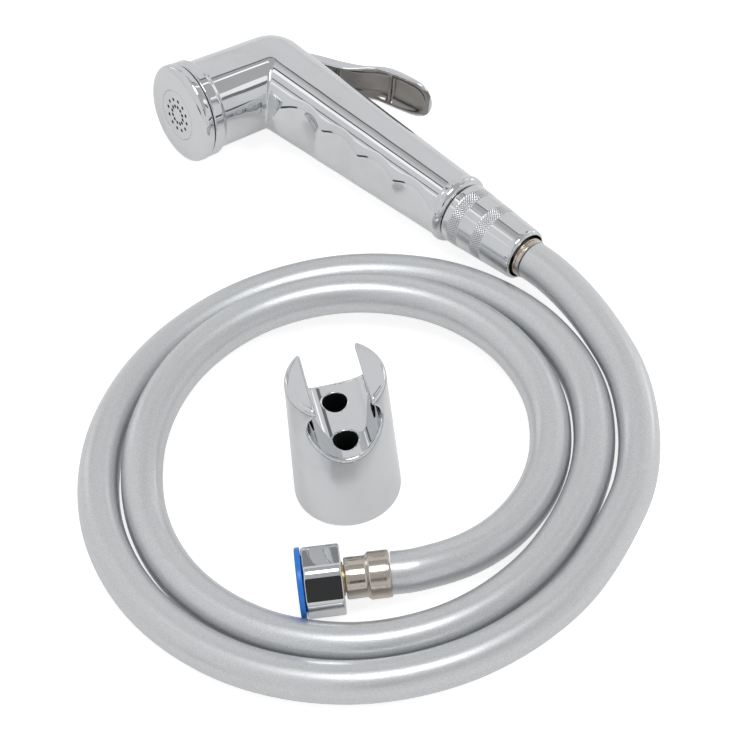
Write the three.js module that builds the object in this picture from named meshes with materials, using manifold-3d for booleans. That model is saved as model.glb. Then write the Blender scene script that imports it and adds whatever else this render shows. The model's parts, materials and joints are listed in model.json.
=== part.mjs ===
// Handheld bath sprayer: an elbowed spray head with a thumb lever valve, its supply hose with the
// end fittings, and the wall holder that the cone nut drops into. Millimetres, +Z up.
// The origin is the centre of the holder's wall face, on the surface that everything lies on.
import * as THREE from 'three';
import { mergeVertices } from 'three/addons/utils/BufferGeometryUtils.js';
import Module from 'manifold-3d';

const wasm = await Module();
wasm.setup();

// ---------------------------------------------------------------- driving dimensions
// Clearances
const SEAT_GAP = 0.3;          // between two pieces that touch
const RUNNING_GAP = 0.4;       // round a piece that turns or slides
const FLOOR_GAP = 0.3;         // under the soft hose
const SPIN_GAP = 0.05;         // under the hex nut's corners as it turns

// Handle of the housing, along the handset's own X axis
const HANDLE_LENGTH = 108;     // elbow axis point to the tail rim
const HANDLE_BORE = 9.2;       // radius of the water way through the handle
const ELBOW_WALL = 8.4;
const TAIL_WALL = 4;
const BEAD_RISE = 0.8;         // rolled bead at the tail rim, over the handle
const BEAD_LENGTH = 5.5;
const TAIL_SOCKET_STEP = 1.6;  // socket of the tail connector, over the bore
const TAIL_SOCKET_DEPTH = 12;

// Head, along its own axis from the elbow axis point
const HEAD_ANGLE = 98.6;       // degrees between the head and the handle
const HEAD_REACH = 34;         // elbow axis point to the back of the collar
const HEAD_BORE = 13.8;
const HEAD_BORE_DEPTH = 17;
const SKIRT_WALL = 2.4;        // threaded skirt of the cap, which screws into the collar
const SKIRT_LENGTH = 9;
const NECK_WALL = 1.6;         // head round the skirt
const COLLAR_WALL = 3.2;
const COLLAR_LENGTH = 5.2;
const SEAL_THICKNESS = 0.9;
const CAP_RISE = 0.3;          // cap's rim over the collar
const CAP_LENGTH = 4.6;
const CAP_EDGE = 3.4;          // radius of the cap's rounded front edge
const CAP_WALL = 2.2;
const PLATE_MARGIN = 2.2;      // between the plate's flange and the skirt's bore
const PLATE_FLANGE = 1.4;
const PLATE_LAND = 1.6;        // how far the flange reaches under the cap's lip
const SPRAY_HOLE = 0.55;
const SPRAY_RINGS = [[12, 6.5], [12, 3.7]];   // holes and ring radius

// Finger grooves on the head side of the handle
const GROOVE_COUNT = 4;
const GROOVE_FIRST = 33;
const GROOVE_PITCH = 19.4;
const GROOVE_RADIUS = 17;
const GROOVE_DEPTH = 3.2;

// Thumb lever, from its pivot
const LEVER_LENGTH = 56;
const LEVER_HALF_WIDTH = 8.4;
const LEVER_ROOT_HALF_WIDTH = 7;
const LEVER_DEPTH = 8;
const LEVER_ROOT_FLAT = 12;    // straight part of the rim at the pivot
const LEVER_TIP_HEIGHT = 1.6;
const LEVER_RIB_FOOT = 3.1;      // pivot's height to the foot of the cross rib
const LEVER_CROWN = [
  [7, 3.2], [16, 3.5], [23, 4.1], [28, 5.4], [32, 6.7], [36, 7], [41, 6.2], [47, 4.7], [52, 3.3],
];
const LEVER_RIM = [[18, -2.2], [23, -0.2], [28, 2.2], [32, 2.9], [37, 2.5], [42, 1.9], [48, 1.2], [53, 0.4]];
const LEVER_WALL = 1.8;
const LEVER_SPLAY = 23;        // degrees off the handle at rest
const PIVOT_X = 3;
const PIVOT_RISE = 3;          // pivot over the flat on the back of the handle
const PIN_RADIUS = 1.3;
const LUG_SPACING = 4.4;       // between the two pivot lugs
const LUG_THICKNESS = 2.2;
const RECESS_WALL = 3.4;       // bore to the flat on the back of the handle
const RECESS_END = 66;

// Valve, across the handle under the lever
const VALVE_X = 16;
const VALVE_BODY_START = 9;
const VALVE_BODY_END = 44;
const CHAMBER_RADIUS = 4.6;
const ROD_RADIUS = 1.9;
const STEM_RADIUS = 1.5;
const SEAT_HEIGHT = 2.9;       // lower face of the valve seat above the handle axis
const SEAT_THICKNESS = 1.5;
const SEAL_RING_THICKNESS = 1;
const PLUNGER_THICKNESS = 2;
const SPRING_WIRE = 0.3;       // radius
const SPRING_TURNS = 2.5;
const RETAINER_THICKNESS = 1.6;
const PIPE_RADIUS = 5.5;
const PIPE_BORE = 4;
const PIPE_SOCKET_DEPTH = 6;
const ORING_THICKNESS = 1.2;
const OUTLET_RADIUS = 3.2;
const OUTLET_BORE = 2.2;

// Hose ends
const THREAD_RADIUS = 10.2;    // half-inch pipe thread, over the crests
const THREAD_LENGTH = 8.4;
const CONE_NUT_GAP = 0.4;       // tail rim to the nut
const CONE_NUT_LENGTH = 33.2;
const CONE_NUT_RADIUS = 12.5;
const CONE_NUT_TIP_RADIUS = 10.3;
const KNURL_WIDTH = 5;
const KNURL_HEIGHT = 0.35;
const KNURL_STARTS = [3, 14.5];
const WASHER_THICKNESS = 2;
const TAIL_FLANGE_THICKNESS = 2;
const TAIL_STEM_RADIUS = 5;
const TAIL_BORE = 3.6;
const HANDSET_SLEEVE_RADIUS = 8.5;
const HANDSET_SLEEVE_SHOWING = 3.2;
const HEX_ACROSS_FLATS = 23.6;
const HEX_NUT_LENGTH = 13.6;
const HEX_CHAMFER = 1.4;
const HEX_TURN = 22;           // degrees that the lowest corner is off the bottom
const HEX_END_WALL = 3.8;
const SLEEVE_NECK_RADIUS = 7.5;
const SLEEVE_NECK_LENGTH = 8.5;
const SLEEVE_COLLAR_RADIUS = 8.5;
const SLEEVE_COLLAR_LENGTH = 7.6;
const THREAD_CAP_RADIUS = 12.9;
const THREAD_CAP_THICKNESS = 2;
const THREAD_CAP_PLUG = 3;

// Wall holder, standing on its wall face
const HOLDER_BASE_RADIUS = 19.5;
const HOLDER_TOP_RADIUS = 18;
const HOLDER_HEIGHT = 60;
const HOLDER_EDGE = 1.2;
const CHANNEL_RADIUS = 13;
const CHANNEL_DROP = 11.2;     // top plane down to the channel's axis
const CHANNEL_SLOT = 19.8;
const CHANNEL_TURN = 8;        // degrees off the Y axis in plan
const WELL_RADIUS = 4.35;
const WELL_SPACING = 18.3;
const WELL_FLOOR = 6;
const SCREW_HOLE_RADIUS = 2.3;

// Hose
const HOSE_DIAMETER = 15.6;
const HOSE_SIDES = 10;
const HOSE_STEPS = 80;

// Where the handset lies, and how it is turned
const ELBOW_PLACE = [-14.6, 200];
const HANDLE_HEADING = -50.2;  // degrees in plan, elbow to tail
const HANDLE_DROP = 1.7;       // degrees that the handle falls towards its tail
const HEAD_RISE = 9.4;         // degrees that the head is rolled up off the floor
const SUPPLY_PLACE = [-18.4, -53.4];          // mouth of the hex nut
const SUPPLY_HEADING = 1;

const COIL_CENTRE = [5, 2];
const LIE = HOSE_DIAMETER / 2 + FLOOR_GAP;   // hose axis over the floor
// Hose route between its two sleeves: degrees round the coil's centre, radius, height over LIE.
const HOSE_ROUTE = [
  [38, 109.6, 4.7], [27, 106.5, 3.6], [15, 104.7, 2.1], [2, 102.2, 0.8], [-10, 100.2, 0.1],
  [-20, 98, 0], [-45, 96.2, 0], [-70, 95.9, 0], [-95, 96, 0], [-120, 96, 0],
  [-145, 95.8, 0], [-170, 95.4, 0], [-195, 95, 0], [-220, 94.8, 0], [-245, 94.8, 0],
  [-270, 95, 0], [-295, 94.8, 0], [-318, 93, 0], [-340, 89.8, 0],
  [-360, 85.6, 0], [-380, 81.8, 0], [-405, 79.9, 0], [-430, 79.8, 0], [-455, 79.9, 0],
  [-480, 79.9, 0], [-505, 79.6, 0], [-530, 79.2, 0.6], [-555, 79, 4.4], [-580, 79.4, 6.4],
  [-605, 79.8, 6.8], [-630, 79.6, 6.2], [-655, 79, 4.6], [-678, 77, 2.4], [-700, 73.6, 0.6],
  [-720, 69.6, 0], [-738, 66, 0.2], [-756, 62.4, 1], [-774, 59.4, 3],
];

const radians = THREE.MathUtils.degToRad;
const FULL_TURN = 2 * Math.PI;

// ---------------------------------------------------------------- shapes and booleans
// Shared corners joined, slivers dropped and the faces turned outward.
function closed(geometry) {
  const bare = geometry.clone();
  for (const name of ['normal', 'uv']) bare.deleteAttribute(name);
  const merged = mergeVertices(bare, 1e-4);
  const { array } = merged.index;
  const position = merged.attributes.position;
  const a = new THREE.Vector3();
  const b = new THREE.Vector3();
  const c = new THREE.Vector3();
  const triangles = [];
  let volume = 0;
  for (let i = 0; i < array.length; i += 3) {
    const [p, q, r] = [array[i], array[i + 1], array[i + 2]];
    if (p === q || q === r || r === p) continue;
    triangles.push(p, q, r);
    a.fromBufferAttribute(position, p);
    b.fromBufferAttribute(position, q);
    c.fromBufferAttribute(position, r);
    volume += a.dot(b.cross(c));
  }
  merged.setIndex(volume > 0 ? triangles : triangles.reverse());
  return merged;
}

function solidOf(geometry) {
  const shape = closed(geometry);
  return new wasm.Manifold(new wasm.Mesh({
    numProp: 3,
    vertProperties: new Float32Array(shape.attributes.position.array),
    triVerts: new Uint32Array(shape.index.array),
  }));
}

function geometryOf(solid) {
  const { vertProperties, triVerts } = solid.getMesh();
  const geometry = new THREE.BufferGeometry();
  geometry.setAttribute('position', new THREE.BufferAttribute(vertProperties, 3));
  geometry.setIndex(new THREE.BufferAttribute(triVerts, 1));
  return geometry;
}

// A solid of revolution about X: the profile is [x, radius] pairs from the axis to the axis,
// or a ring that closes on itself.
function turned(profile, sides = 32) {
  const points = profile.map(([x, radius]) => new THREE.Vector2(radius, x));
  return new THREE.LatheGeometry(points, sides).rotateZ(-Math.PI / 2);
}

function ringProfile(start, end, inner, outer) {
  return [[start, inner], [start, outer], [end, outer], [end, inner], [start, inner]];
}

function discProfile(start, end, radius) {
  return [[start, 0], [start, radius], [end, radius], [end, 0]];
}

const turnedRing = (start, end, inner, outer, sides) => turned(ringProfile(start, end, inner, outer), sides);
const turnedDisc = (start, end, radius, sides) => turned(discProfile(start, end, radius), sides);

// Points of a rounded corner, as [x, radius] pairs.
function arc(centreX, centreRadius, radius, from, to, steps) {
  return Array.from({ length: steps + 1 }, (_, i) => {
    const angle = radians(from + ((to - from) * i) / steps);
    return [centreX + radius * Math.cos(angle), centreRadius + radius * Math.sin(angle)];
  });
}

function box(low, high) {
  const size = high.map((value, i) => value - low[i]);
  const middle = high.map((value, i) => (value + low[i]) / 2);
  return new THREE.BoxGeometry(...size).translate(...middle);
}

// A flat outline in X and Y, given its thickness along Z.
function slab(shape, low, high, curveSegments = 8) {
  const options = { depth: high - low, bevelEnabled: false, curveSegments };
  return new THREE.ExtrudeGeometry(shape, options).translate(0, 0, low);
}

function rod(radius, low, high, sides = 16) {
  return turnedDisc(low, high, radius, sides);
}

function cut(geometry, ...cutters) {
  return cutters.reduce((solid, cutter) => solid.subtract(solidOf(cutter)), solidOf(geometry));
}

function joined(...geometries) {
  return geometries.map(solidOf).reduce((a, b) => a.add(b));
}

// ---------------------------------------------------------------- finishes
const FINISHES = {
  chrome: { color: 0xd9dcdf, roughness: 0.08, metalness: 1 },
  nickel: { color: 0xc2b7a3, roughness: 0.2, metalness: 1 },
  brass: { color: 0xc8a860, roughness: 0.3, metalness: 1 },
  steel: { color: 0xb4b6b8, roughness: 0.3, metalness: 1 },
  silver_hose: { color: 0xc9cacc, roughness: 0.35, metalness: 0.5 },
  blue_plastic: { color: 0x0a5fb4, roughness: 0.4, metalness: 0 },
  black_rubber: { color: 0x17181a, roughness: 0.7, metalness: 0 },
  white_plastic: { color: 0xe9e9e4, roughness: 0.4, metalness: 0 },
};

function piece(name, finish, shape) {
  const geometry = shape instanceof wasm.Manifold ? geometryOf(shape) : closed(shape);
  const mesh = new THREE.Mesh(geometry, new THREE.MeshStandardMaterial(FINISHES[finish]));
  mesh.name = name;
  return mesh;
}

// ---------------------------------------------------------------- handset
// X runs from the elbow to the tail, Y to the lever's side, Z out of the plane of the bend.
const elbowRadius = HANDLE_BORE + ELBOW_WALL;
const tailRadius = HANDLE_BORE + TAIL_WALL;
const beadRadius = tailRadius + BEAD_RISE;
const recessFloor = HANDLE_BORE + RECESS_WALL;
const pivotHeight = recessFloor + PIVOT_RISE;
const skirtBore = HEAD_BORE + RUNNING_GAP;
const skirtRadius = skirtBore + SKIRT_WALL;
const headRadius = skirtRadius + NECK_WALL;
const collarRadius = skirtRadius + COLLAR_WALL;
const capRadius = collarRadius + CAP_RISE;
const plateRadius = skirtBore - PLATE_MARGIN;
const capMouth = plateRadius - PLATE_LAND;
const headTurn = radians(-HEAD_ANGLE);
const alongHead = (geometry) => geometry.rotateZ(headTurn);
const collarStart = HEAD_REACH;
const collarEnd = collarStart + COLLAR_LENGTH;
const sealStart = collarEnd + SEAT_GAP;
const sealEnd = sealStart + SEAL_THICKNESS;
const capStart = sealEnd + SEAT_GAP;
const capEnd = capStart + CAP_LENGTH;
const skirtStart = capStart - SKIRT_LENGTH;
const handleRadiusAt = (x) => elbowRadius + ((tailRadius - elbowRadius) * x) / HANDLE_LENGTH;
const beadStart = HANDLE_LENGTH - BEAD_LENGTH;
const socketStart = HANDLE_LENGTH - TAIL_SOCKET_DEPTH;
const socketRadius = HANDLE_BORE + TAIL_SOCKET_STEP;

function handleSolid() {
  const bead = arc(beadStart + BEAD_LENGTH / 2, beadRadius - BEAD_LENGTH / 2, BEAD_LENGTH / 2, 165, 15, 6);
  return turned([
    [0, 0], [0, elbowRadius], [beadStart, handleRadiusAt(beadStart)],
    ...bead, [HANDLE_LENGTH, beadRadius - BEAD_LENGTH / 2], [HANDLE_LENGTH, 0],
  ], 40);
}

function headSolid() {
  return alongHead(turned([
    [0, 0], [0, elbowRadius], [collarStart, headRadius], [collarStart + 1, collarRadius],
    [collarEnd, collarRadius], [collarEnd, 0],
  ], 40));
}

function fingerGroove(index) {
  const x = GROOVE_FIRST + index * GROOVE_PITCH;
  const centre = handleRadiusAt(x) - GROOVE_DEPTH + GROOVE_RADIUS;
  const reach = 2 * elbowRadius;
  return new THREE.CylinderGeometry(GROOVE_RADIUS, GROOVE_RADIUS, reach, 32)
    .rotateX(Math.PI / 2).translate(x, -centre, 0);
}

const lugInner = LUG_SPACING / 2;
const lugOuter = lugInner + LUG_THICKNESS;
const lugReach = PIN_RADIUS + 1.3;

function pivotLug(low, high) {
  const outline = new THREE.Shape();
  outline.moveTo(PIVOT_X - lugReach, recessFloor - 1);
  outline.lineTo(PIVOT_X + lugReach, recessFloor - 1);
  outline.lineTo(PIVOT_X + lugReach, pivotHeight);
  outline.absarc(PIVOT_X, pivotHeight, lugReach, 0, Math.PI, false);
  return slab(outline, low, high);
}

function housing() {
  const elbow = new THREE.SphereGeometry(elbowRadius, 40, 24);
  const outside = joined(handleSolid(), headSolid(), elbow);
  const recessStart = PIVOT_X - lugReach - RUNNING_GAP;
  const flat = box([recessStart, recessFloor, -headRadius], [RECESS_END, 2 * elbowRadius, headRadius]);
  const grooves = Array.from({ length: GROOVE_COUNT }, (_, i) => solidOf(fingerGroove(i)));
  const shaped = grooves.reduce((solid, groove) => solid.subtract(groove), outside.subtract(solidOf(flat)));
  const lugs = [pivotLug(lugInner, lugOuter), pivotLug(-lugOuter, -lugInner)].map(solidOf);
  const waterWay = joined(
    turnedDisc(0, HANDLE_LENGTH + 1, HANDLE_BORE),
    turnedDisc(socketStart, HANDLE_LENGTH + 1, socketRadius),
    alongHead(turnedDisc(0, collarEnd + 1, HANDLE_BORE)),
    alongHead(turnedDisc(collarEnd - HEAD_BORE_DEPTH, collarEnd + 1, HEAD_BORE)),
    alongHead(turnedDisc(skirtStart - SEAT_GAP, collarEnd + 1, skirtRadius + SEAT_GAP)),
    new THREE.SphereGeometry(HANDLE_BORE, 32, 16),
  );
  const rodHole = rod(ROD_RADIUS + RUNNING_GAP, 0, pivotHeight)
    .rotateZ(Math.PI / 2).translate(VALVE_X, 0, 0);
  const pinHole = pinRod(PIN_RADIUS + SEAT_GAP, 2 * lugOuter);
  return shaped.add(lugs[0]).add(lugs[1]).subtract(waterWay)
    .subtract(solidOf(rodHole)).subtract(solidOf(pinHole));
}

function sprayCap() {
  const edge = arc(capEnd - CAP_EDGE, capRadius - CAP_EDGE, CAP_EDGE, 90, 0, 5);
  const floor = capEnd - CAP_WALL;
  return alongHead(turned([
    [skirtStart, skirtBore], [skirtStart, skirtRadius], [capStart, skirtRadius], [capStart, capRadius],
    ...edge, [capEnd, capMouth], [floor, capMouth], [floor, skirtBore], [skirtStart, skirtBore],
  ], 40));
}

function capSeal() {
  return alongHead(turnedRing(sealStart, sealEnd, skirtRadius + SEAT_GAP, collarRadius - 0.4, 40));
}

const plateBack = capEnd - CAP_WALL - SEAT_GAP - PLATE_FLANGE;

function sprayPlate() {
  const front = capEnd - 0.2;
  const disc = turned([
    [plateBack, 0], [plateBack, plateRadius], [plateBack + PLATE_FLANGE, plateRadius],
    [plateBack + PLATE_FLANGE, capMouth - SEAT_GAP], [front, capMouth - SEAT_GAP], [front, 0],
  ], 32);
  const holes = SPRAY_RINGS.flatMap(([count, radius]) => Array.from({ length: count }, (_, i) => {
    const angle = (FULL_TURN * i) / count;
    return rod(SPRAY_HOLE, plateBack - 1, front + 1, 8)
      .translate(0, radius * Math.cos(angle), radius * Math.sin(angle));
  }));
  return cut(disc, ...holes).transform(new THREE.Matrix4().makeRotationZ(headTurn).elements);
}

const carrierEnd = plateBack - 2.6;
const carrierStart = collarEnd - HEAD_BORE_DEPTH + SEAT_GAP;
const carrierFloor = carrierEnd - 4;

function nozzleCarrier() {
  const outer = HEAD_BORE - SEAT_GAP;
  const chamber = outer - 2.4;
  const neck = OUTLET_RADIUS + 2 * SEAT_GAP;
  return alongHead(turned([
    [carrierStart, neck], [carrierStart, outer], [carrierEnd, outer], [carrierEnd, chamber],
    [carrierFloor, chamber], [carrierFloor, neck], [carrierStart, neck],
  ], 28));
}

function plateSeal() {
  const inner = capMouth - 1;
  return alongHead(turnedRing(carrierEnd + SEAT_GAP, plateBack - SEAT_GAP, inner, inner + 2.4, 28));
}

// ---------------------------------------------------------------- valve
const valveBodyRadius = HANDLE_BORE - RUNNING_GAP;
const seatTop = SEAT_HEIGHT + SEAT_THICKNESS;
const sealTop = SEAT_HEIGHT - SEAT_GAP;
const sealBottom = sealTop - SEAL_RING_THICKNESS;
const plungerTop = sealBottom - SEAT_GAP;
const plungerBottom = plungerTop - PLUNGER_THICKNESS;
const chamberTop = seatTop + 2.4;
const retainerTop = RETAINER_THICKNESS - Math.sqrt(valveBodyRadius ** 2 - CHAMBER_RADIUS ** 2);
const stemTop = valveBodyRadius - 0.8;
const outletHeight = seatTop + 0.8;
const pipeStart = VALVE_BODY_END - PIPE_SOCKET_DEPTH + ORING_THICKNESS + 2 * SEAT_GAP;
const pipeEnd = socketStart + 4.5;
const valveAxis = (geometry) => geometry.rotateZ(Math.PI / 2).translate(VALVE_X, 0, 0);

function valveBody() {
  const body = turnedDisc(VALVE_BODY_START, VALVE_BODY_END, valveBodyRadius);
  const reach = valveBodyRadius + 1;
  return cut(
    body,
    valveAxis(rod(CHAMBER_RADIUS, -reach, chamberTop, 20)),
    valveAxis(rod(ROD_RADIUS + RUNNING_GAP, 0, reach)),
    turnedDisc(VALVE_BODY_END - PIPE_SOCKET_DEPTH, VALVE_BODY_END + 1, PIPE_RADIUS + SEAT_GAP, 20),
    rod(PIPE_BORE - 1, VALVE_X, VALVE_BODY_END, 16).translate(0, -1.5, 0),
    rod(OUTLET_BORE - 0.6, VALVE_BODY_START - 1, VALVE_X, 12).translate(0, outletHeight, 0),
  );
}

function valveSeat() {
  return valveAxis(turnedRing(SEAT_HEIGHT, seatTop, STEM_RADIUS + 1.1, CHAMBER_RADIUS - SEAT_GAP, 20));
}

function plunger() {
  const head = CHAMBER_RADIUS - RUNNING_GAP;
  return valveAxis(turned([
    [plungerBottom, 0], [plungerBottom, head], [plungerTop, head], [plungerTop, STEM_RADIUS],
    [stemTop, STEM_RADIUS], [stemTop, 0],
  ], 20));
}

function plungerSeal() {
  const outer = CHAMBER_RADIUS - RUNNING_GAP - 0.1;
  return valveAxis(turnedRing(sealBottom, sealTop, STEM_RADIUS + SEAT_GAP, outer, 20));
}

// The rod's domed end stops just under the lever's web.
const webDistance = (VALVE_X - PIVOT_X) / Math.cos(radians(LEVER_SPLAY));
const webDrop = 1;
const webHeight = pivotHeight + webDistance * Math.sin(radians(LEVER_SPLAY))
  - webDrop * Math.cos(radians(LEVER_SPLAY));
const rodTop = webHeight - ROD_RADIUS * Math.tan(radians(LEVER_SPLAY)) / 2 - SEAT_GAP;

function pushRod() {
  const dome = arc(rodTop - 1, ROD_RADIUS - 1, 1, 90, 0, 3);
  const foot = stemTop + SEAT_GAP;
  return valveAxis(turned([[foot, 0], [foot, ROD_RADIUS], ...dome, [rodTop, 0]], 16));
}

class Helix extends THREE.Curve {
  constructor(radius, low, high, turns) {
    super();
    Object.assign(this, { radius, low, high, turns });
  }

  getPoint(t, target = new THREE.Vector3()) {
    const angle = FULL_TURN * this.turns * t;
    const height = this.low + (this.high - this.low) * t;
    return target.set(this.radius * Math.cos(angle), height, this.radius * Math.sin(angle));
  }
}

function roundSection(radius, sides) {
  const points = Array.from({ length: sides }, (_, i) => {
    const angle = (FULL_TURN * i) / sides;
    return new THREE.Vector2(radius * Math.cos(angle), radius * Math.sin(angle));
  });
  return new THREE.Shape(points);
}

function swept(path, radius, sides, steps) {
  const options = { steps, bevelEnabled: false, extrudePath: path };
  return new THREE.ExtrudeGeometry(roundSection(radius, sides), options);
}

function valveSpring() {
  const low = retainerTop + SEAT_GAP + SPRING_WIRE;
  const high = plungerBottom - SEAT_GAP - SPRING_WIRE;
  const path = new Helix(CHAMBER_RADIUS - 1.4, low, high, SPRING_TURNS);
  return swept(path, SPRING_WIRE, 6, SPRING_TURNS * 12).translate(VALVE_X, 0, 0);
}

function springRetainer() {
  return valveAxis(turnedDisc(retainerTop - RETAINER_THICKNESS, retainerTop, CHAMBER_RADIUS - SEAT_GAP, 20));
}

function innerWaterPipe() {
  return turnedRing(pipeStart, pipeEnd, PIPE_BORE, PIPE_RADIUS, 20);
}

function pipeSeal(start) {
  return turnedRing(start, start + ORING_THICKNESS, PIPE_BORE, PIPE_RADIUS, 20);
}

// Bent pipe from the valve body's outlet round the elbow into the nozzle carrier.
function outletPipe() {
  const head = new THREE.Vector3(Math.cos(headTurn), Math.sin(headTurn), 0);
  const mouth = head.clone().multiplyScalar(carrierFloor - 1);
  const turnPoint = head.clone().multiplyScalar(carrierStart - 13);
  const start = new THREE.Vector3(VALVE_BODY_START - SEAT_GAP, outletHeight, 0);
  const middle = new THREE.Vector3(-2, outletHeight, 0);
  const path = new THREE.CubicBezierCurve3(start, middle, turnPoint, mouth);
  const beyond = new THREE.CubicBezierCurve3(
    start.clone().add(new THREE.Vector3(1, 0, 0)), middle, turnPoint, mouth.clone().addScaledVector(head, 1),
  );
  return cut(swept(path, OUTLET_RADIUS, 16, 14), swept(beyond, OUTLET_BORE, 12, 14));
}

// ---------------------------------------------------------------- lever
function pinRod(radius, halfLength) {
  return new THREE.CylinderGeometry(radius, radius, 2 * halfLength, 16)
    .rotateX(Math.PI / 2).translate(PIVOT_X, pivotHeight, 0);
}

// Side view of the lever from its pivot: its crown rises in a low hump under the thumb and falls to a
// rounded spoon tip, and the rim of the shell follows it.
function leverSide(wall) {
  const root = PIN_RADIUS + 1.3;
  const tip = LEVER_LENGTH - wall;
  const outline = new THREE.Shape();
  if (wall > 0) {
    outline.moveTo(root - wall, -root - 4);
    outline.lineTo(tip, -root - 4);
    outline.lineTo(tip, LEVER_TIP_HEIGHT + 0.4 - wall / 2);
  } else {
    outline.moveTo(0, -root);
    outline.lineTo(LEVER_ROOT_FLAT, -root);
    outline.splineThru(LEVER_RIM.map(([x, y]) => new THREE.Vector2(x, y)));
    outline.quadraticCurveTo(tip, LEVER_TIP_HEIGHT - 1, tip, LEVER_TIP_HEIGHT);
  }
  const [lastX, lastY] = LEVER_CROWN[LEVER_CROWN.length - 1];
  outline.quadraticCurveTo(tip, lastY - wall - 0.9, lastX, lastY - wall);
  outline.splineThru(LEVER_CROWN.slice(0, -1).reverse().map(([x, y]) => new THREE.Vector2(x, y - wall)));
  outline.lineTo(wall > 0 ? root - wall : 0, root - wall);
  if (wall === 0) outline.absarc(0, 0, root, Math.PI / 2, 1.5 * Math.PI, false);
  return outline;
}

function leverPlan(wall) {
  const half = LEVER_HALF_WIDTH - wall;
  const rootHalf = LEVER_ROOT_HALF_WIDTH - wall;
  const shoulder = LEVER_LENGTH - LEVER_HALF_WIDTH;
  const outline = new THREE.Shape();
  outline.moveTo(-5, -rootHalf);
  outline.lineTo(0, -rootHalf);
  outline.quadraticCurveTo(LEVER_LENGTH * 0.3, -rootHalf, LEVER_LENGTH * 0.6, -half);
  outline.lineTo(shoulder, -half);
  outline.absellipse(shoulder, 0, LEVER_HALF_WIDTH - wall, half, -Math.PI / 2, Math.PI / 2, false, 0);
  outline.lineTo(LEVER_LENGTH * 0.6, half);
  outline.quadraticCurveTo(LEVER_LENGTH * 0.3, rootHalf, 0, rootHalf);
  outline.lineTo(-5, rootHalf);
  return outline;
}

function leverBlock(wall) {
  const side = slab(leverSide(wall), -LEVER_HALF_WIDTH, LEVER_HALF_WIDTH);
  const plan = slab(leverPlan(wall), -2 * LEVER_DEPTH, 2 * LEVER_DEPTH).rotateX(Math.PI / 2);
  return solidOf(side).intersect(solidOf(plan));
}

function thumbLever() {
  const hollow = leverBlock(LEVER_WALL);
  const inner = LEVER_HALF_WIDTH;
  const web = box([webDistance - 1, -webDrop, -inner], [webDistance + 1, LEVER_DEPTH, inner]);
  const ribPlace = LEVER_LENGTH * 0.65;
  const rib = box([ribPlace - 0.8, LEVER_RIB_FOOT, -inner], [ribPlace + 0.8, LEVER_DEPTH, inner]);
  const shell = leverBlock(0).subtract(hollow.subtract(solidOf(web)).subtract(solidOf(rib)));
  const rootSlot = box([-6, -6, -lugOuter - RUNNING_GAP], [lugReach + 1, 6, lugOuter + RUNNING_GAP]);
  const place = new THREE.Matrix4().makeRotationZ(radians(LEVER_SPLAY)).setPosition(PIVOT_X, pivotHeight, 0);
  return shell.subtract(solidOf(rootSlot)).transform(place.elements)
    .subtract(solidOf(pinRod(PIN_RADIUS + SEAT_GAP, LEVER_HALF_WIDTH + 1)));
}

function leverPin() {
  return pinRod(PIN_RADIUS, LEVER_ROOT_HALF_WIDTH - 0.2);
}

// ---------------------------------------------------------------- tail of the handset and cone nut
const threadEnd = HANDLE_LENGTH + THREAD_LENGTH;
const washerStart = threadEnd + SEAT_GAP;
const flangeStart = washerStart + WASHER_THICKNESS + SEAT_GAP;
const flangeEnd = flangeStart + TAIL_FLANGE_THICKNESS;
const coneNutStart = HANDLE_LENGTH + CONE_NUT_GAP;
const coneNutEnd = coneNutStart + CONE_NUT_LENGTH;
const coneNutBore = THREAD_RADIUS + SEAT_GAP;
const coneShoulder = flangeEnd + SEAT_GAP;
const sleeveEnd = coneNutEnd + HANDSET_SLEEVE_SHOWING;
const sleeveStart = flangeEnd + 3;
const filterPocket = threadEnd - 4;

function tailConnector() {
  const barrel = socketRadius - SEAT_GAP;
  const pipeSocket = PIPE_RADIUS + SEAT_GAP;
  const start = socketStart + SEAT_GAP;
  const socketFloor = pipeEnd + ORING_THICKNESS + 2 * SEAT_GAP;
  return turned([
    [start, pipeSocket], [start, barrel], [HANDLE_LENGTH - SEAT_GAP, barrel],
    [HANDLE_LENGTH - SEAT_GAP, THREAD_RADIUS], [threadEnd, THREAD_RADIUS], [threadEnd, THREAD_RADIUS - 2.6],
    [filterPocket, THREAD_RADIUS - 2.6], [filterPocket, PIPE_BORE], [socketFloor, PIPE_BORE],
    [socketFloor, pipeSocket], [start, pipeSocket],
  ], 28);
}

function inletFilter() {
  const radius = THREAD_RADIUS - 2.6 - SEAT_GAP;
  const start = filterPocket + SEAT_GAP;
  const mesh = turnedDisc(start, start + 1.2, radius, 24);
  const holes = Array.from({ length: 8 }, (_, i) => {
    const angle = (FULL_TURN * i) / 8;
    return rod(0.9, start - 1, start + 3, 8).translate(0, 4.4 * Math.cos(angle), 4.4 * Math.sin(angle));
  });
  return cut(mesh, ...holes, rod(0.9, start - 1, start + 3, 8));
}

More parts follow.
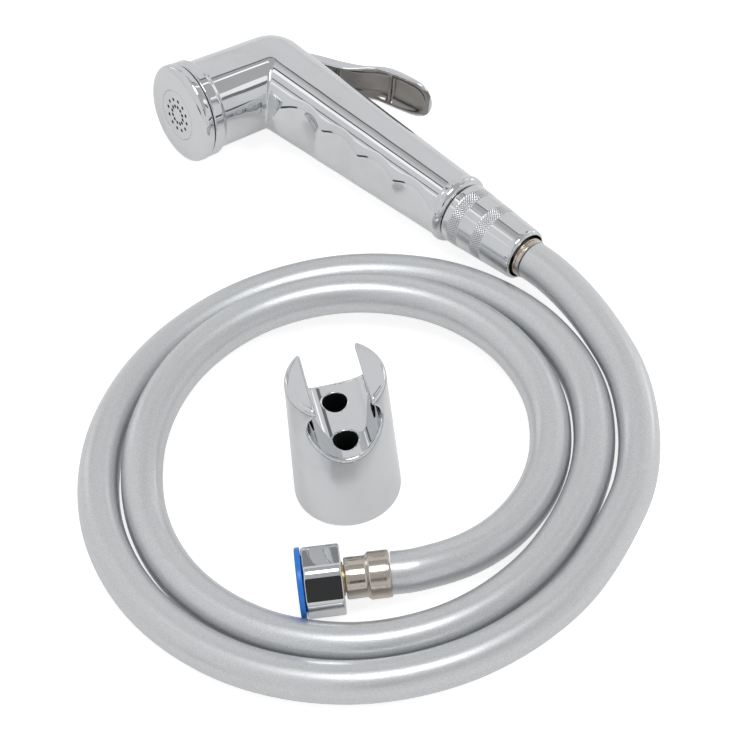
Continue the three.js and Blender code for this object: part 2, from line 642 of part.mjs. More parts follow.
function coneNut() {
  const taper = (CONE_NUT_RADIUS - CONE_NUT_TIP_RADIUS) / CONE_NUT_LENGTH;
  const radiusAt = (distance) => CONE_NUT_RADIUS - taper * distance;
  const bands = KNURL_STARTS.flatMap((start) => [
    [coneNutStart + start, radiusAt(start)],
    [coneNutStart + start + KNURL_HEIGHT, radiusAt(start) + KNURL_HEIGHT],
    [coneNutStart + start + KNURL_WIDTH - KNURL_HEIGHT, radiusAt(start + KNURL_WIDTH) + KNURL_HEIGHT],
    [coneNutStart + start + KNURL_WIDTH, radiusAt(start + KNURL_WIDTH)],
  ]);
  const tipBore = HANDSET_SLEEVE_RADIUS + SEAT_GAP;
  return turned([
    [coneNutStart, coneNutBore], [coneNutStart, CONE_NUT_RADIUS - 0.6],
    [coneNutStart + 0.6, CONE_NUT_RADIUS], ...bands, [coneNutEnd - 0.6, CONE_NUT_TIP_RADIUS],
    [coneNutEnd, CONE_NUT_TIP_RADIUS - 0.6],
    [coneNutEnd, tipBore], [coneShoulder, tipBore], [coneShoulder, coneNutBore], [coneNutStart, coneNutBore],
  ], 36);
}

function washer(start, outer) {
  return turnedRing(start, start + WASHER_THICKNESS, TAIL_BORE + 1, outer, 24);
}

// Barbed tail: a flange that the nut pulls on, a neck, and a stem inside the hose's sleeve.
function hoseTail(flange, flangeRadius, neckEnd, neckRadius, stemEnd) {
  return turned([
    [flange, TAIL_BORE], [flange, flangeRadius], [flange + TAIL_FLANGE_THICKNESS, flangeRadius],
    [flange + TAIL_FLANGE_THICKNESS, neckRadius], [neckEnd, neckRadius], [neckEnd, TAIL_STEM_RADIUS],
    [stemEnd, TAIL_STEM_RADIUS], [stemEnd, TAIL_BORE], [flange, TAIL_BORE],
  ], 24);
}

function handsetHoseTail() {
  return hoseTail(flangeStart, coneNutBore - RUNNING_GAP, sleeveStart - SEAT_GAP, TAIL_STEM_RADIUS + 1,
    sleeveEnd - SEAT_GAP);
}

function handsetSleeve() {
  return turnedRing(sleeveStart, sleeveEnd, TAIL_STEM_RADIUS + SEAT_GAP, HANDSET_SLEEVE_RADIUS, 28);
}

// ---------------------------------------------------------------- supply end, X from the nut's mouth
const shoulder = HEX_NUT_LENGTH - HEX_END_WALL;
const supplyFlange = shoulder - SEAT_GAP - TAIL_FLANGE_THICKNESS;
const supplyWasher = supplyFlange - SEAT_GAP - WASHER_THICKNESS;
const neckRadius = TAIL_STEM_RADIUS + 1;
const cornerRadius = HEX_ACROSS_FLATS / 2 / Math.cos(Math.PI / 6);
const lyingHeight = cornerRadius + SPIN_GAP;
const supplySleeveStart = HEX_NUT_LENGTH + 0.8;
const supplySleeveEnd = supplySleeveStart + SLEEVE_NECK_LENGTH + SLEEVE_COLLAR_LENGTH;

function hexNut() {
  const hex = new THREE.CylinderGeometry(cornerRadius, cornerRadius, HEX_NUT_LENGTH, 6)
    .rotateZ(-Math.PI / 2).translate(HEX_NUT_LENGTH / 2, 0, 0).rotateX(radians(HEX_TURN));
  const bevelled = turned([
    [0, 0], [0, cornerRadius - HEX_CHAMFER], [HEX_CHAMFER, cornerRadius + 0.01],
    [HEX_NUT_LENGTH - HEX_CHAMFER, cornerRadius + 0.01], [HEX_NUT_LENGTH, cornerRadius - HEX_CHAMFER],
    [HEX_NUT_LENGTH, 0],
  ], 36);
  return solidOf(hex).intersect(solidOf(bevelled))
    .subtract(solidOf(turnedDisc(-1, shoulder, THREAD_RADIUS + SEAT_GAP)))
    .subtract(solidOf(turnedDisc(0, HEX_NUT_LENGTH + 1, neckRadius + RUNNING_GAP, 24)));
}

function threadCap() {
  const front = -SEAT_GAP - THREAD_CAP_THICKNESS;
  const plug = THREAD_RADIUS - SEAT_GAP;
  const wall = 1.6;
  return turned([
    [front, 0], [front, THREAD_CAP_RADIUS - 0.5], [front + 0.5, THREAD_CAP_RADIUS],
    [-SEAT_GAP, THREAD_CAP_RADIUS], [-SEAT_GAP, plug], [THREAD_CAP_PLUG, plug],
    [THREAD_CAP_PLUG, plug - wall], [0, plug - wall], [0, 0],
  ], 36);
}

function supplyHoseTail() {
  return hoseTail(supplyFlange, THREAD_RADIUS - RUNNING_GAP, supplySleeveStart - SEAT_GAP, neckRadius,
    supplySleeveEnd - SEAT_GAP);
}

function supplySleeve() {
  const bore = TAIL_STEM_RADIUS + SEAT_GAP;
  const step = supplySleeveStart + SLEEVE_NECK_LENGTH;
  return turned([
    [supplySleeveStart, bore], [supplySleeveStart, SLEEVE_NECK_RADIUS], [step - 1, SLEEVE_NECK_RADIUS],
    [step, SLEEVE_COLLAR_RADIUS], [supplySleeveEnd, SLEEVE_COLLAR_RADIUS], [supplySleeveEnd, bore],
    [supplySleeveStart, bore],
  ], 28);
}

// ---------------------------------------------------------------- wall holder
function holderBody() {
  const upright = (geometry) => geometry.rotateY(-Math.PI / 2);
  const cone = upright(turned([
    [0, 0], [0, HOLDER_BASE_RADIUS - HOLDER_EDGE], [HOLDER_EDGE, HOLDER_BASE_RADIUS],
    [HOLDER_HEIGHT - HOLDER_EDGE, HOLDER_TOP_RADIUS], [HOLDER_HEIGHT, HOLDER_TOP_RADIUS - HOLDER_EDGE],
    [HOLDER_HEIGHT, 0],
  ], 48));
  const axisHeight = HOLDER_HEIGHT - CHANNEL_DROP;
  const reach = 2 * HOLDER_BASE_RADIUS;
  const half = CHANNEL_SLOT / 2;
  const bore = new THREE.CylinderGeometry(CHANNEL_RADIUS, CHANNEL_RADIUS, reach, 36)
    .translate(0, 0, axisHeight);
  const slot = box([-half, -reach / 2, axisHeight], [half, reach / 2, HOLDER_HEIGHT + 1]);
  const channel = [bore, slot].map((geometry) => geometry.rotateZ(radians(CHANNEL_TURN)));
  const wells = [-1, 1].flatMap((side) => {
    const place = new THREE.Vector3(0, (side * WELL_SPACING) / 2, 0)
      .applyAxisAngle(new THREE.Vector3(0, 0, 1), radians(CHANNEL_TURN));
    return [
      upright(rod(WELL_RADIUS, WELL_FLOOR, HOLDER_HEIGHT, 24)).translate(place.x, place.y, 0),
      upright(rod(SCREW_HOLE_RADIUS, -1, WELL_FLOOR + 1, 16)).translate(place.x, place.y, 0),
    ];
  });
  return cut(cone, ...channel, ...wells);
}

// ---------------------------------------------------------------- placing
function handsetFrame() {
  const heading = radians(HANDLE_HEADING);
  const drop = radians(HANDLE_DROP);
  const x = new THREE.Vector3(Math.cos(heading), Math.sin(heading), -Math.tan(drop)).normalize();
  const z = new THREE.Vector3(0, 0, 1).addScaledVector(x, -x.z).normalize()
    .applyAxisAngle(x, -radians(HEAD_RISE));
  const y = new THREE.Vector3().crossVectors(z, x);
  return new THREE.Matrix4().makeBasis(x, y, z)
    .setPosition(ELBOW_PLACE[0], ELBOW_PLACE[1], elbowRadius + FLOOR_GAP);
}

function supplyFrame() {
  return new THREE.Matrix4().makeRotationZ(radians(SUPPLY_HEADING))
    .setPosition(SUPPLY_PLACE[0], SUPPLY_PLACE[1], lyingHeight);
}

// The hose leaves each sleeve straight, then follows its route.
function hoseTube() {
  const leaving = (frame, distance) => new THREE.Vector3(distance, 0, 0).applyMatrix4(frame);
  const lead = HOSE_DIAMETER / 2;
  const route = HOSE_ROUTE.map(([angle, radius, height]) => new THREE.Vector3(
    COIL_CENTRE[0] + radius * Math.cos(radians(angle)),
    COIL_CENTRE[1] + radius * Math.sin(radians(angle)),
    LIE + height,
  ));
  const points = [
    leaving(handsetFrame(), sleeveEnd + SEAT_GAP), leaving(handsetFrame(), sleeveEnd + lead), ...route,
    leaving(supplyFrame(), supplySleeveEnd + lead), leaving(supplyFrame(), supplySleeveEnd + SEAT_GAP),
  ];
  const path = new THREE.CatmullRomCurve3(points, false, 'centripetal');
  return swept(path, HOSE_DIAMETER / 2, HOSE_SIDES, HOSE_STEPS);
}

// ---------------------------------------------------------------- the assembly
function assembly(frame, ...meshes) {
  const group = new THREE.Group();
  group.applyMatrix4(frame);
  group.add(...meshes);
  return group;
}

const handset = assembly(
  handsetFrame(),
  piece('housing', 'chrome', housing()),
  piece('spray_cap', 'chrome', sprayCap()),
  piece('cap_seal', 'black_rubber', capSeal()),
  piece('spray_plate', 'chrome', sprayPlate()),
  piece('plate_seal', 'black_rubber', plateSeal()),
  piece('nozzle_carrier', 'white_plastic', nozzleCarrier()),
  piece('outlet_pipe', 'white_plastic', outletPipe()),
  piece('valve_body', 'brass', valveBody()),
  piece('valve_seat', 'steel', valveSeat()),
  piece('valve_plunger', 'brass', plunger()),
  piece('plunger_seal', 'black_rubber', plungerSeal()),
  piece('push_rod', 'steel', pushRod()),
  piece('valve_spring', 'steel', valveSpring()),
  piece('spring_retainer', 'brass', springRetainer()),
  piece('inner_water_pipe', 'white_plastic', innerWaterPipe()),
  piece('pipe_seal_valve_end', 'black_rubber', pipeSeal(pipeStart - SEAT_GAP - ORING_THICKNESS)),
  piece('pipe_seal_tail_end', 'black_rubber', pipeSeal(pipeEnd + SEAT_GAP)),
  piece('thumb_lever', 'chrome', thumbLever()),
  piece('lever_pin', 'steel', leverPin()),
  piece('tail_connector', 'brass', tailConnector()),
  piece('inlet_filter', 'white_plastic', inletFilter()),
  piece('cone_nut', 'chrome', coneNut()),
  piece('cone_nut_washer', 'black_rubber', washer(washerStart, THREAD_RADIUS - SEAT_GAP)),
  piece('handset_hose_tail', 'brass', handsetHoseTail()),
  piece('handset_sleeve', 'nickel', handsetSleeve()),
);

const supplyEnd = assembly(
  supplyFrame(),
  piece('hex_nut', 'chrome', hexNut()),
  piece('hex_nut_washer', 'black_rubber', washer(supplyWasher, THREAD_RADIUS - SEAT_GAP - RUNNING_GAP)),
  piece('thread_cap', 'blue_plastic', threadCap()),
  piece('supply_hose_tail', 'brass', supplyHoseTail()),
  piece('supply_sleeve', 'nickel', supplySleeve()),
);

const sprayer = new THREE.Group();
sprayer.add(
  handset,
  supplyEnd,
  piece('hose_tube', 'silver_hose', hoseTube()),
  piece('holder_body', 'chrome', holderBody()),
);

export default sprayer;
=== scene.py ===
"""Looks of the handheld bath sprayer: handset with a thumb lever, coiled hose, end nuts and wall holder.

Shapes are worked out in millimetres in the frame of the handset, of the hose's supply end or of the holder,
and placed in metres on the frame that the packed model gives.
"""

import json
import math

import bpy
import numpy as np
from mathutils import Matrix, Vector


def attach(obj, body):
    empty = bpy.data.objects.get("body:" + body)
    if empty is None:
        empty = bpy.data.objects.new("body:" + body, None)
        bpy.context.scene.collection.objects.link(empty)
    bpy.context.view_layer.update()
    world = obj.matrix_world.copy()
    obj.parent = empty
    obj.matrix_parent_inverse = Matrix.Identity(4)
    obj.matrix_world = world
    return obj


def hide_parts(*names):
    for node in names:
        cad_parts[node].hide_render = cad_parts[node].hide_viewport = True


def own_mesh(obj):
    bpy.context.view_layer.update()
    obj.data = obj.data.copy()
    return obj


bl_info = {
    "name": "Handheld bath sprayer",
    "version": (1, 0, 0),
    "blender": (4, 5, 0),
    "location": "View3D > Sidebar > Bath sprayer",
    "description": "Builds a handheld bath sprayer with its hose and wall holder around its CAD frame",
    "category": "Object",
}

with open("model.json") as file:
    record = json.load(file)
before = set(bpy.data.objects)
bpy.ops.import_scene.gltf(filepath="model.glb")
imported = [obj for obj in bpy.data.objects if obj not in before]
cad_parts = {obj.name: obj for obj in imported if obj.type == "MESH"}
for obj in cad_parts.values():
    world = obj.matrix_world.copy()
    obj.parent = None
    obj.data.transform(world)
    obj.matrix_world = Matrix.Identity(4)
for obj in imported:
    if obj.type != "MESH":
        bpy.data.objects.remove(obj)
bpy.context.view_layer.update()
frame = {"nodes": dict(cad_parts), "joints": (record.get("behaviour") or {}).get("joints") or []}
joints = {joint["name"]: joint for joint in frame["joints"]}

MM = 0.001
FULL_TURN = 2 * math.pi


# ---------------------------------------------------------------- places of the three groups
def basis(x, y, z, origin):
    """Matrix with those three directions and that origin."""
    rotation = Matrix((x, y, z)).transposed()
    return Matrix.Translation(origin) @ rotation.to_4x4()


def handset_place():
    """X runs from the elbow to the tail, Y to the lever's side, Z out of the plane of the bend."""
    x = Vector(joints["handset_swivel"]["axis"]).normalized()
    y = -Vector(joints["plunger_slide"]["axis"]).normalized()
    return basis(x, y, x.cross(y), Vector(joints["handset_swivel"]["pos_m"]))


def supply_place():
    """X runs from the mouth of the hex nut into the hose, Z is up."""
    x = Vector(joints["hex_nut_spin"]["axis"]).normalized()
    z = Vector((0, 0, 1))
    return basis(x, z.cross(x), z, Vector(joints["hex_nut_spin"]["pos_m"]))


HANDSET = handset_place()
SUPPLY = supply_place()
HOLDER = Matrix.Identity(4)


# ---------------------------------------------------------------- sizes and colours that can be set
def size(name, description, default, low=0.0, high=300.0):
    return bpy.props.FloatProperty(name=name, description=description + ", in millimetres", default=default,
                                   min=low, max=high, precision=2)


def turn(name, description, default):
    return bpy.props.FloatProperty(name=name, description=description, default=math.radians(default),
                                   subtype="ANGLE", unit="ROTATION")


def colour(name, description, default):
    return bpy.props.FloatVectorProperty(name=name, description=description, default=default, size=3,
                                         subtype="COLOR", min=0.0, max=1.0)


def share(name, description, default, high=1.0):
    return bpy.props.FloatProperty(name=name, description=description, default=default, min=0.0, max=high,
                                   subtype="FACTOR")


class HandsetSizes(bpy.types.PropertyGroup):
    """Sizes of the housing, its spray face and its thumb lever."""
    handle_length: size("Handle length", "Elbow point to the tail rim", 108)
    elbow_radius: size("Elbow radius", "Radius of the round elbow", 17.6)
    tail_radius: size("Tail radius", "Radius of the handle at its tail", 13.2)
    bead_radius: size("Bead radius", "Radius of the rolled bead at the tail", 14)
    bead_length: size("Bead length", "Length of the rolled bead", 5.5)
    handle_bore: size("Handle bore", "Radius of the water way in the handle", 9.2)
    socket_radius: size("Tail socket radius", "Radius of the socket of the tail connector", 10.8)
    socket_depth: size("Tail socket depth", "Depth of the socket of the tail connector", 12)
    head_angle: turn("Head angle", "Angle between the head and the handle", 98.6)
    head_radius: size("Head radius", "Radius of the head behind its collar", 18.2)
    collar_start: size("Collar start", "Elbow point to the back of the collar", 34)
    collar_end: size("Collar end", "Elbow point to the front of the collar", 39.2)
    collar_radius: size("Collar radius", "Radius of the collar", 19.8)
    head_bore: size("Head bore", "Radius of the bore of the head", 13.8)
    skirt_bore: size("Skirt bore", "Radius of the bore for the spray cap's skirt", 16.9)
    groove_count: bpy.props.IntProperty(name="Finger grooves", description="Number of finger grooves",
                                        default=4, min=0, max=8)
    groove_first: size("First groove", "Elbow point to the middle of the first finger groove", 33)
    groove_pitch: size("Groove pitch", "Distance between two finger grooves", 19.4)
    groove_radius: size("Groove radius", "Radius of each finger groove", 17)
    groove_depth: size("Groove depth", "Depth of the first finger groove", 3.2)
    groove_fade: size("Groove fade", "How much shallower each finger groove is than the one before", 0.35)
    recess_floor: size("Back flat", "Handle axis to the flat on the back of the handle", 12.6)
    recess_end: size("Back flat end", "Elbow point to the end of the flat", 66)
    pivot_x: size("Pivot place", "Elbow point to the lever's pivot, along the handle", 3)
    pivot_height: size("Pivot height", "Handle axis to the lever's pivot", 15.6)
    pin_radius: size("Pin radius", "Radius of the lever's pivot pin", 1.3)
    rod_place: size("Push rod place", "Elbow point to the push rod", 16)
    rod_radius: size("Push rod radius", "Radius of the push rod", 1.9)
    cap_radius: size("Cap radius", "Radius of the spray cap", 20.1)
    cap_start: size("Cap start", "Elbow point to the back of the spray cap's rim", 40.7)
    cap_end: size("Cap end", "Elbow point to the front of the spray cap", 45.3)
    cap_mouth: size("Cap mouth", "Radius of the round hole for the spray plate", 10.4)
    spray_hole: size("Spray hole", "Radius of each spray hole", 0.55)
    lever_length: size("Lever length", "Pivot to the tip of the thumb lever", 56)
    lever_half_width: size("Lever half width", "Half the width of the thumb lever at its tip", 8.4)
    lever_root_half_width: size("Lever root half width", "Half the width of the thumb lever at its pivot", 7)
    lever_wall: size("Lever wall", "Thickness of the lever's shell", 1.8)
    lever_splay: turn("Lever splay", "Angle of the lever off the handle at rest", 23)


class HoseSizes(bpy.types.PropertyGroup):
    """Sizes of the hose and of what is on its ends."""
    diameter: size("Hose diameter", "Outer diameter of the hose", 15.2)
    length: size("Hose length", "Length of the hose between its two sleeves", 1280, high=5000)
    cone_nut_start: size("Cone nut start", "Elbow point to the big end of the cone nut", 108.4)
    cone_nut_length: size("Cone nut length", "Length of the cone nut", 33.2)
    cone_nut_radius: size("Cone nut radius", "Radius of the cone nut's big end", 12.5)
    cone_nut_tip_radius: size("Cone nut tip radius", "Radius of the cone nut's small end", 10.3)
    knurl_width: size("Knurl width", "Width of each knurled band", 5)
    knurl_height: size("Knurl height", "Height of the knurl", 0.17)
    knurl_count: bpy.props.IntProperty(name="Knurl count", description="Knurl ridges round the nut",
                                       default=66, min=12, max=120)
    sleeve_radius: size("Sleeve radius", "Radius of the sleeve at the handset's end", 8.0)
    sleeve_end: size("Sleeve end", "Elbow point to the end of that sleeve", 144.8)
    hex_across_flats: size("Hex nut", "Size across the flats of the hex nut", 23.6)
    hex_length: size("Hex nut length", "Length of the hex nut", 13.6)
    hex_turn: turn("Hex nut turn", "How far the nut's lowest corner is off the bottom", 22)
    supply_sleeve_start: size("Supply sleeve start", "Hex nut's mouth to its sleeve", 14.4)
    supply_neck_length: size("Supply sleeve neck", "Length of the sleeve's thin part", 8.5)
    supply_collar_length: size("Supply sleeve collar", "Length of the sleeve's thick part", 7.6)
    supply_neck_radius: size("Supply neck radius", "Radius of the sleeve's thin part", 7.5)
    supply_collar_radius: size("Supply collar radius", "Radius of the sleeve's thick part", 8.5)
    thread_cap_radius: size("Thread cap radius", "Radius of the plastic cap in the nut's mouth", 12.9)


class HolderSizes(bpy.types.PropertyGroup):
    """Sizes of the wall holder."""
    base_radius: size("Base radius", "Radius at the wall", 19.5)
    top_radius: size("Top radius", "Radius at the horns", 18)
    height: size("Height", "Wall face to the tips of the horns", 60)
    channel_radius: size("Channel radius", "Radius of the channel for the cone nut", 13)
    channel_height: size("Channel height", "Wall face to the channel's axis", 48.8)
    channel_slot: size("Channel slot", "Width of the slot between the horns", 19.8)
    channel_turn: turn("Channel turn", "Turn of the channel off the Y axis", 8)
    well_radius: size("Well radius", "Radius of the two screw wells", 4.35)
    well_spacing: size("Well spacing", "Distance between the two screw wells", 18.3)
    well_floor: size("Well floor", "Wall face to the bottom of the wells", 6)
    screw_hole: size("Screw hole", "Radius of the two screw holes", 2.3)


class FinishColours(bpy.types.PropertyGroup):
    """Colours of the finishes and of the painted shade, as linear values."""
    chrome: colour("Chrome", "Polished chrome plating", (0.70, 0.71, 0.725))
    # darker copy of the chrome: painted shade in the lever's hollow underside
    lever_hollow_shade: colour("Lever hollow shade", "Painted shade on the chrome inside the lever", (0.30, 0.285, 0.268))
    nickel: colour("Nickel", "Warm nickel of the crimped sleeves", (0.60, 0.545, 0.48))
    hose_light: colour("Hose", "Silver lacquer of the hose", (0.71, 0.72, 0.73))
    hose_deep: colour("Hose depth", "Darker flakes in the hose's lacquer", (0.57, 0.58, 0.595))
    brass: colour("Brass", "Turned brass inside", (0.72, 0.54, 0.27))
    steel: colour("Steel", "Stainless steel of pins and springs", (0.58, 0.575, 0.565))
    rubber: colour("Rubber", "Black rubber of the seals", (0.016, 0.017, 0.018))
    blue: colour("Blue plastic", "Thread cap", (0.005, 0.115, 0.47))
    white: colour("White plastic", "Inner plastic pieces", (0.78, 0.78, 0.75))
    # near black: painted shade on the walls of the screw wells and spray holes
    hole_shade_colour: colour("Hole shade", "Painted shade on the walls of the screw wells and spray holes", (0.010, 0.012, 0.012))


class StageSettings(bpy.types.PropertyGroup):
    """Camera, floor and studio light."""
    lens: bpy.props.FloatProperty(name="Lens", description="Focal length on a 36 mm sensor", default=146.54,
                                  min=20, max=400, unit="CAMERA")
    elevation: turn("Camera elevation", "How far the camera looks down", 48.5)
    roll: turn("Camera roll", "Turn of the camera about its own axis", 6.2)
    distance: bpy.props.FloatProperty(name="Camera distance", description="Camera to the point it looks at",
                                      default=1.128, unit="LENGTH")
    target: bpy.props.FloatVectorProperty(name="Camera target", description="Point that the camera looks at",
                                          default=(0.012, 0.055, 0.0), size=3, subtype="XYZ")
    floor_glow: share("Floor glow", "Light that the pale floor adds, as in a light tent", 0.31)
    floor_white: share("Floor white", "Light of the floor as the camera sees it", 0.76)
    tent_light: share("Tent light", "Brightness of the tent's walls and ceiling", 0.80, high=3.0)
    panel_light: share("Panel light", "Brightness of the ceiling's greyer middle", 0.52, high=3.0)
    lamp_light: share("Lamp light", "Brightness of the lamp overhead", 5.2, high=20.0)
    softbox_power: bpy.props.FloatProperty(name="Softbox", default=10, min=0, max=200,
                                           description="Power of the softbox on the right, in watts")


SETTINGS = {"sprayer_handset": HandsetSizes, "sprayer_hose": HoseSizes, "sprayer_holder": HolderSizes,
            "sprayer_finish": FinishColours, "sprayer_stage": StageSettings}


# ---------------------------------------------------------------- shapes as distances, in millimetres
def smooth_max(a, b, blend):
    """The larger of two distances, with the edge between them rounded over about blend."""
    blend = np.maximum(blend, 1e-6)
    near = np.maximum(blend - np.abs(a - b), 0.0) / blend
    return np.maximum(a, b) + near * near * blend / 4


def smooth_min(a, b, blend):
    return -smooth_max(-a, -b, blend)


def cylinder(along, across, radius, low, high):
    """Distance to a cylinder, from a point's place along its axis and its distance across it."""
    return np.maximum(across - radius, np.maximum(low - along, along - high))


def ball_cone(along, across, length, ball, end):
    """Distance to a cone that leaves a ball without an edge and has radius end at length."""
    lean = math.asin(ball / math.hypot(length, end)) - math.atan2(end, length)
    sine, cosine = math.sin(lean), math.cos(lean)
    cone = along * sine + across * cosine - ball
    return np.where(along * cosine > across * sine, cone, np.hypot(along, across) - ball)


def through(x, knots):
    """Height at x of a smooth line through the points (x, y), without corners."""
    xs, ys = (np.array(values, float) for values in zip(*knots))
    slopes = np.gradient(ys, xs)
    place = np.clip(np.searchsorted(xs, x) - 1, 0, len(xs) - 2)
    width = xs[place + 1] - xs[place]
    t = np.clip((x - xs[place]) / width, 0, 1)
    start, end = ys[place], ys[place + 1]
    return ((2 * t**3 - 3 * t**2 + 1) * start + (t**3 - 2 * t**2 + t) * width * slopes[place]
            + (3 * t**2 - 2 * t**3) * end + (t**3 - t**2) * width * slopes[place + 1])


def gradient(distance, points, reach=0.02):
    """Outward directions of a distance function at some points."""
    slopes = [distance(points + reach * axis) - distance(points - reach * axis) for axis in np.eye(3)]
    slopes = np.stack(slopes, axis=1)
    return slopes / np.maximum(np.linalg.norm(slopes, axis=1, keepdims=True), 1e-9)


def skin(distance, low, high, step):
    """Quad mesh on the zero of a distance function: one point in each grid cell that the surface crosses,
    moved onto the surface. Returns its points, faces and outward normals."""
    axes = [np.arange(a, b + step, step) for a, b in zip(low, high)]
    grid = np.stack(np.meshgrid(*axes, indexing="ij"), axis=-1)
    shape = grid.shape[:3]
    values = distance(grid.reshape(-1, 3)).reshape(shape)
    inside = values < 0
    cells = tuple(n - 1 for n in shape)

    corners = [(i, j, k) for i in (0, 1) for j in (0, 1) for k in (0, 1)]
    window = [tuple(slice(c, c + n) for c, n in zip(corner, cells)) for corner in corners]
    count = sum(inside[w].astype(np.int8) for w in window)
    active = np.argwhere((count > 0) & (count < 8))
    at = [values[tuple((active + corner).T)] for corner in corners]

    total = np.zeros((len(active), 3))
    crossings = np.zeros(len(active))
    for first, a in enumerate(corners):
        for second, b in enumerate(corners):
            if sum(abs(p - q) for p, q in zip(a, b)) != 1 or first > second:
                continue
            crossed = (at[first] < 0) != (at[second] < 0)
            span = np.where(crossed, at[first] - at[second], 1.0)
            t = np.where(crossed, at[first] / span, 0.0)[:, None]
            point = np.array(a) + t * (np.array(b) - np.array(a))
            total += np.where(crossed[:, None], point, 0.0)
            crossings += crossed
    points = np.array(low) + (active + total / crossings[:, None]) * step

    for _ in range(4):
        move = distance(points)[:, None] * gradient(distance, points)
        points -= np.clip(move, -0.5 * step, 0.5 * step)

    number = np.full(cells, -1)
    number[tuple(active.T)] = np.arange(len(active))
    faces = []
    for axis in range(3):
        after, next_after = (axis + 1) % 3, (axis + 2) % 3
        cut_low = [slice(None)] * 3
        cut_high = [slice(None)] * 3
        cut_low[axis], cut_high[axis] = slice(None, -1), slice(1, None)
        start, end = inside[tuple(cut_low)], inside[tuple(cut_high)]
        for solid_first in (True, False):
            edges = np.argwhere((start == solid_first) & (end != solid_first))
            keep = (edges[:, after] > 0) & (edges[:, next_after] > 0)
            keep &= (edges[:, after] < cells[after]) & (edges[:, next_after] < cells[next_after])
            edges = edges[keep]
            loop = []
            for step_a, step_b in ((-1, -1), (0, -1), (0, 0), (-1, 0)):
                cell = edges.copy()
                cell[:, after] += step_a
                cell[:, next_after] += step_b
                loop.append(number[tuple(cell.T)])
            faces.append(np.stack(loop if solid_first else loop[::-1], axis=1))
    return points, np.concatenate(faces), gradient(distance, points)


# ---------------------------------------------------------------- turned shapes and tubes, in millimetres
def rounded(corners, steps=6):
    """Outline through corners (x, radius, fillet), with each fillet as an arc."""
    outline = []
    for index, (x, radius, fillet) in enumerate(corners):
        corner = np.array((x, radius), float)
        if not fillet or index in (0, len(corners) - 1):
            outline.append(corner)
            continue
        back = np.array(corners[index - 1][:2], float) - corner
        ahead = np.array(corners[index + 1][:2], float) - corner
        room = 0.49 * min(np.linalg.norm(back), np.linalg.norm(ahead))
        back /= np.linalg.norm(back)
        ahead /= np.linalg.norm(ahead)
        half = 0.5 * math.acos(float(np.clip(back @ ahead, -1, 1)))
        inset = min(fillet / math.tan(half), room)
        middle = corner + (back + ahead) / np.linalg.norm(back + ahead) * inset / math.cos(half)
        start, end = corner + back * inset - middle, corner + ahead * inset - middle
        sweep = math.acos(float(np.clip(start @ end / (np.linalg.norm(start) * np.linalg.norm(end)), -1, 1)))
        for t in np.linspace(0, 1, steps + 1):
            weights = (math.sin((1 - t) * sweep), math.sin(t * sweep))
            outline.append(middle + (weights[0] * start + weights[1] * end) / math.sin(sweep))
    return np.array(outline)


def lathe(outline, sides, relief=None):
    """Surface of revolution about X. The outline runs so that the solid is on its right, and where it closes
    on itself the last point joins the first. relief(x, angle) adds to the radius."""
    outline = np.asarray(outline, float)
    closed = outline[0, 1] > 1e-9 or outline[-1, 1] > 1e-9
    angles = np.linspace(0, FULL_TURN, sides, endpoint=False)
    spans = np.diff(np.vstack((outline, outline[:1])) if closed else outline, axis=0)
    across = np.stack((-spans[:, 1], spans[:, 0]), axis=1)
    if closed:
        bends = across + np.roll(across, 1, axis=0)
    else:
        bends = np.vstack((across[:1], across[1:] + across[:-1], across[-1:]))
    bends /= np.maximum(np.linalg.norm(bends, axis=1, keepdims=True), 1e-9)

    points, normals, rings = [], [], []
    for (x, radius), (slope, out) in zip(outline, bends):
        rings.append(len(points))
        if radius < 1e-9:
            points.append((x, 0, 0))
            normals.append((math.copysign(1, slope), 0, 0))
            continue
        reach = radius + (relief(x, angles) if relief else np.zeros(sides))
        points.extend(zip(np.full(sides, x), reach * np.cos(angles), reach * np.sin(angles)))
        normals.extend(zip(np.full(sides, slope), out * np.cos(angles), out * np.sin(angles)))
    faces = []
    pairs = list(zip(range(len(rings)), range(1, len(rings)))) + ([(len(rings) - 1, 0)] if closed else [])
    for first, second in pairs:
        a, b = rings[first], rings[second]
        a_pole, b_pole = outline[first, 1] < 1e-9, outline[second, 1] < 1e-9
        for side in range(sides):
            after = (side + 1) % sides
            if a_pole:
                faces.append((a, b + after, b + side))
            elif b_pole:
                faces.append((a + side, a + after, b))
            else:
                faces.append((a + side, a + after, b + after, b + side))
    return np.array(points), faces, None if relief else np.array(normals)


def through_points(points, spacing):
    """Centripetal Catmull-Rom curve through points, sampled about every spacing."""
    points = [np.asarray(point, float) for point in points]
    padded = [2 * points[0] - points[1], *points, 2 * points[-1] - points[-2]]
    line = []
    for before, start, end, after in zip(padded, padded[1:], padded[2:], padded[3:]):
        widths = [math.sqrt(np.linalg.norm(b - a)) for a, b in ((before, start), (start, end), (end, after))]
        leave = ((start - before) / widths[0] - (end - before) / (widths[0] + widths[1])
                 + (end - start) / widths[1]) * widths[1]
        arrive = ((end - start) / widths[1] - (after - start) / (widths[1] + widths[2])
                  + (after - end) / widths[2]) * widths[1]
        steps = max(2, round(np.linalg.norm(end - start) / spacing))
        for t in np.linspace(0, 1, steps, endpoint=False):
            line.append((2 * t**3 - 3 * t**2 + 1) * start + (t**3 - 2 * t**2 + t) * leave
                        + (3 * t**2 - 2 * t**3) * end + (t**3 - t**2) * arrive)
    return np.array(line + [points[-1]])


